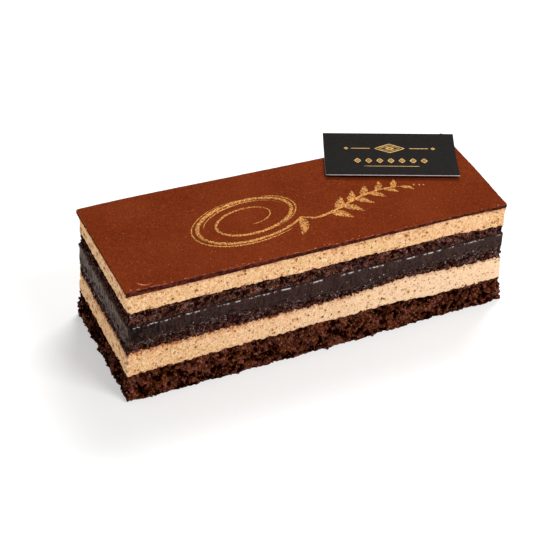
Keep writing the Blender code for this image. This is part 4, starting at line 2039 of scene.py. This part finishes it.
@dataclass(frozen=True)
class Softbox:
    """A rectangular soft light that looks at the cake, in metres and watts."""

    name: str
    place: tuple[float, float, float]
    size: Pair
    power: float

    def add(self) -> None:
        """Adds the light to the scene."""
        light = bpy.data.lights.new(self.name, "AREA")
        light.shape = "RECTANGLE"
        light.size, light.size_y = self.size
        light.energy = self.power
        made = bpy.data.objects.new(self.name, light)
        made.location = self.place
        ahead = Vector((0, 0, 0.02)) - Vector(self.place)
        made.rotation_euler = ahead.to_track_quat("-Z", "Y").to_euler()
        bpy.context.scene.collection.objects.link(made)


@dataclass(frozen=True)
class Studio:
    """The floor, the surround, the soft lights and the camera, in metres and degrees.

    sky_light is how much light the surround gives, and sky_seen how bright it looks behind the floor.
    """

    target: tuple[float, float, float] = (-0.0077, -0.0081, 0.018)
    azimuth: float = -24.13
    elevation: float = 36.21
    roll: float = 1.13
    distance: float = 0.515
    lens: float = 112.2
    floor_side: float = 4.0
    sky_light: float = 0.34
    sky_seen: float = 0.635
    lights: tuple[Softbox, ...] = (
        Softbox("back_softbox", (0.351, 0.418, 0.651), (0.45, 0.3), 5.9),
        Softbox("front_key", (0.264, -0.472, 0.589), (0.3, 0.3), 3.7),
    )

    def build(self) -> None:
        """Sets up the floor, the sky, the lights, the camera and how light becomes colour."""
        self.add_floor()
        self.add_sky()
        for light in self.lights:
            light.add()
        self.add_camera()
        scene = bpy.context.scene
        scene.view_settings.view_transform = "Standard"
        scene.view_settings.look = "None"

    def add_floor(self) -> None:
        """Adds the floor, a plain square that isn't part of the cake."""
        half = self.floor_side / 2
        mesh = bpy.data.meshes.new("floor")
        corners = [(-half, -half, 0), (half, -half, 0), (half, half, 0), (-half, half, 0)]
        mesh.from_pydata(corners, [], [(0, 1, 2, 3)])
        mesh.materials.append(PALE_FLOOR.material())
        floor = bpy.data.objects.new("floor", mesh)
        bpy.context.scene.collection.objects.link(floor)

    def add_sky(self) -> None:
        """Adds an even white surround, which shows past the floor's edge as pale as the floor there."""
        world = bpy.data.worlds.new("surround")
        world.use_nodes = True
        net = Net(world.node_tree)
        looked_at = net.node("LightPath").outputs["Is Camera Ray"]
        level = net.between(looked_at, 0.0, 1.0, (self.sky_light, self.sky_seen))
        background = world.node_tree.nodes["Background"]
        net.plug(background, {"Color": (1, 1, 1, 1), "Strength": level})
        bpy.context.scene.world = world

    def add_camera(self) -> None:
        """Adds the camera: it looks at the target from an azimuth and an elevation, with a slight roll."""
        turn, rise, roll = radians(self.azimuth), radians(self.elevation), radians(self.roll)
        back = Vector((sin(turn) * cos(rise), -cos(turn) * cos(rise), sin(rise)))
        level = Vector((cos(turn), sin(turn), 0))
        upward = back.cross(level)
        right = level * cos(roll) + upward * sin(roll)
        above = upward * cos(roll) - level * sin(roll)
        lens = bpy.data.cameras.new("camera")
        lens.lens = self.lens
        lens.sensor_width = 36
        lens.clip_start = 0.01
        camera = bpy.data.objects.new("camera", lens)
        place = Vector(self.target) + back * self.distance
        axes = Matrix((right, above, back)).transposed().to_4x4()
        camera.matrix_world = Matrix.Translation(place) @ axes
        bpy.context.scene.collection.objects.link(camera)
        bpy.context.scene.camera = camera


def main() -> None:
    """Builds the cake's pieces in order, then the studio, and reports each piece."""
    logging.basicConfig(level=logging.INFO, format="%(message)s")
    bar = Bar.from_frame()
    made = [part.build(bar) for part in (*STACK, *CRUMBS)]
    made += [GoldOrnament().build(bar, GLAZE), ScuffsAndHighlights().build(bar, GLAZE), *Card().build(bar)]
    for piece in made:
        log.info("%s: %d faces", piece.name, len(piece.data.polygons))
    Studio().build()


if __name__ == "__main__":
    main()
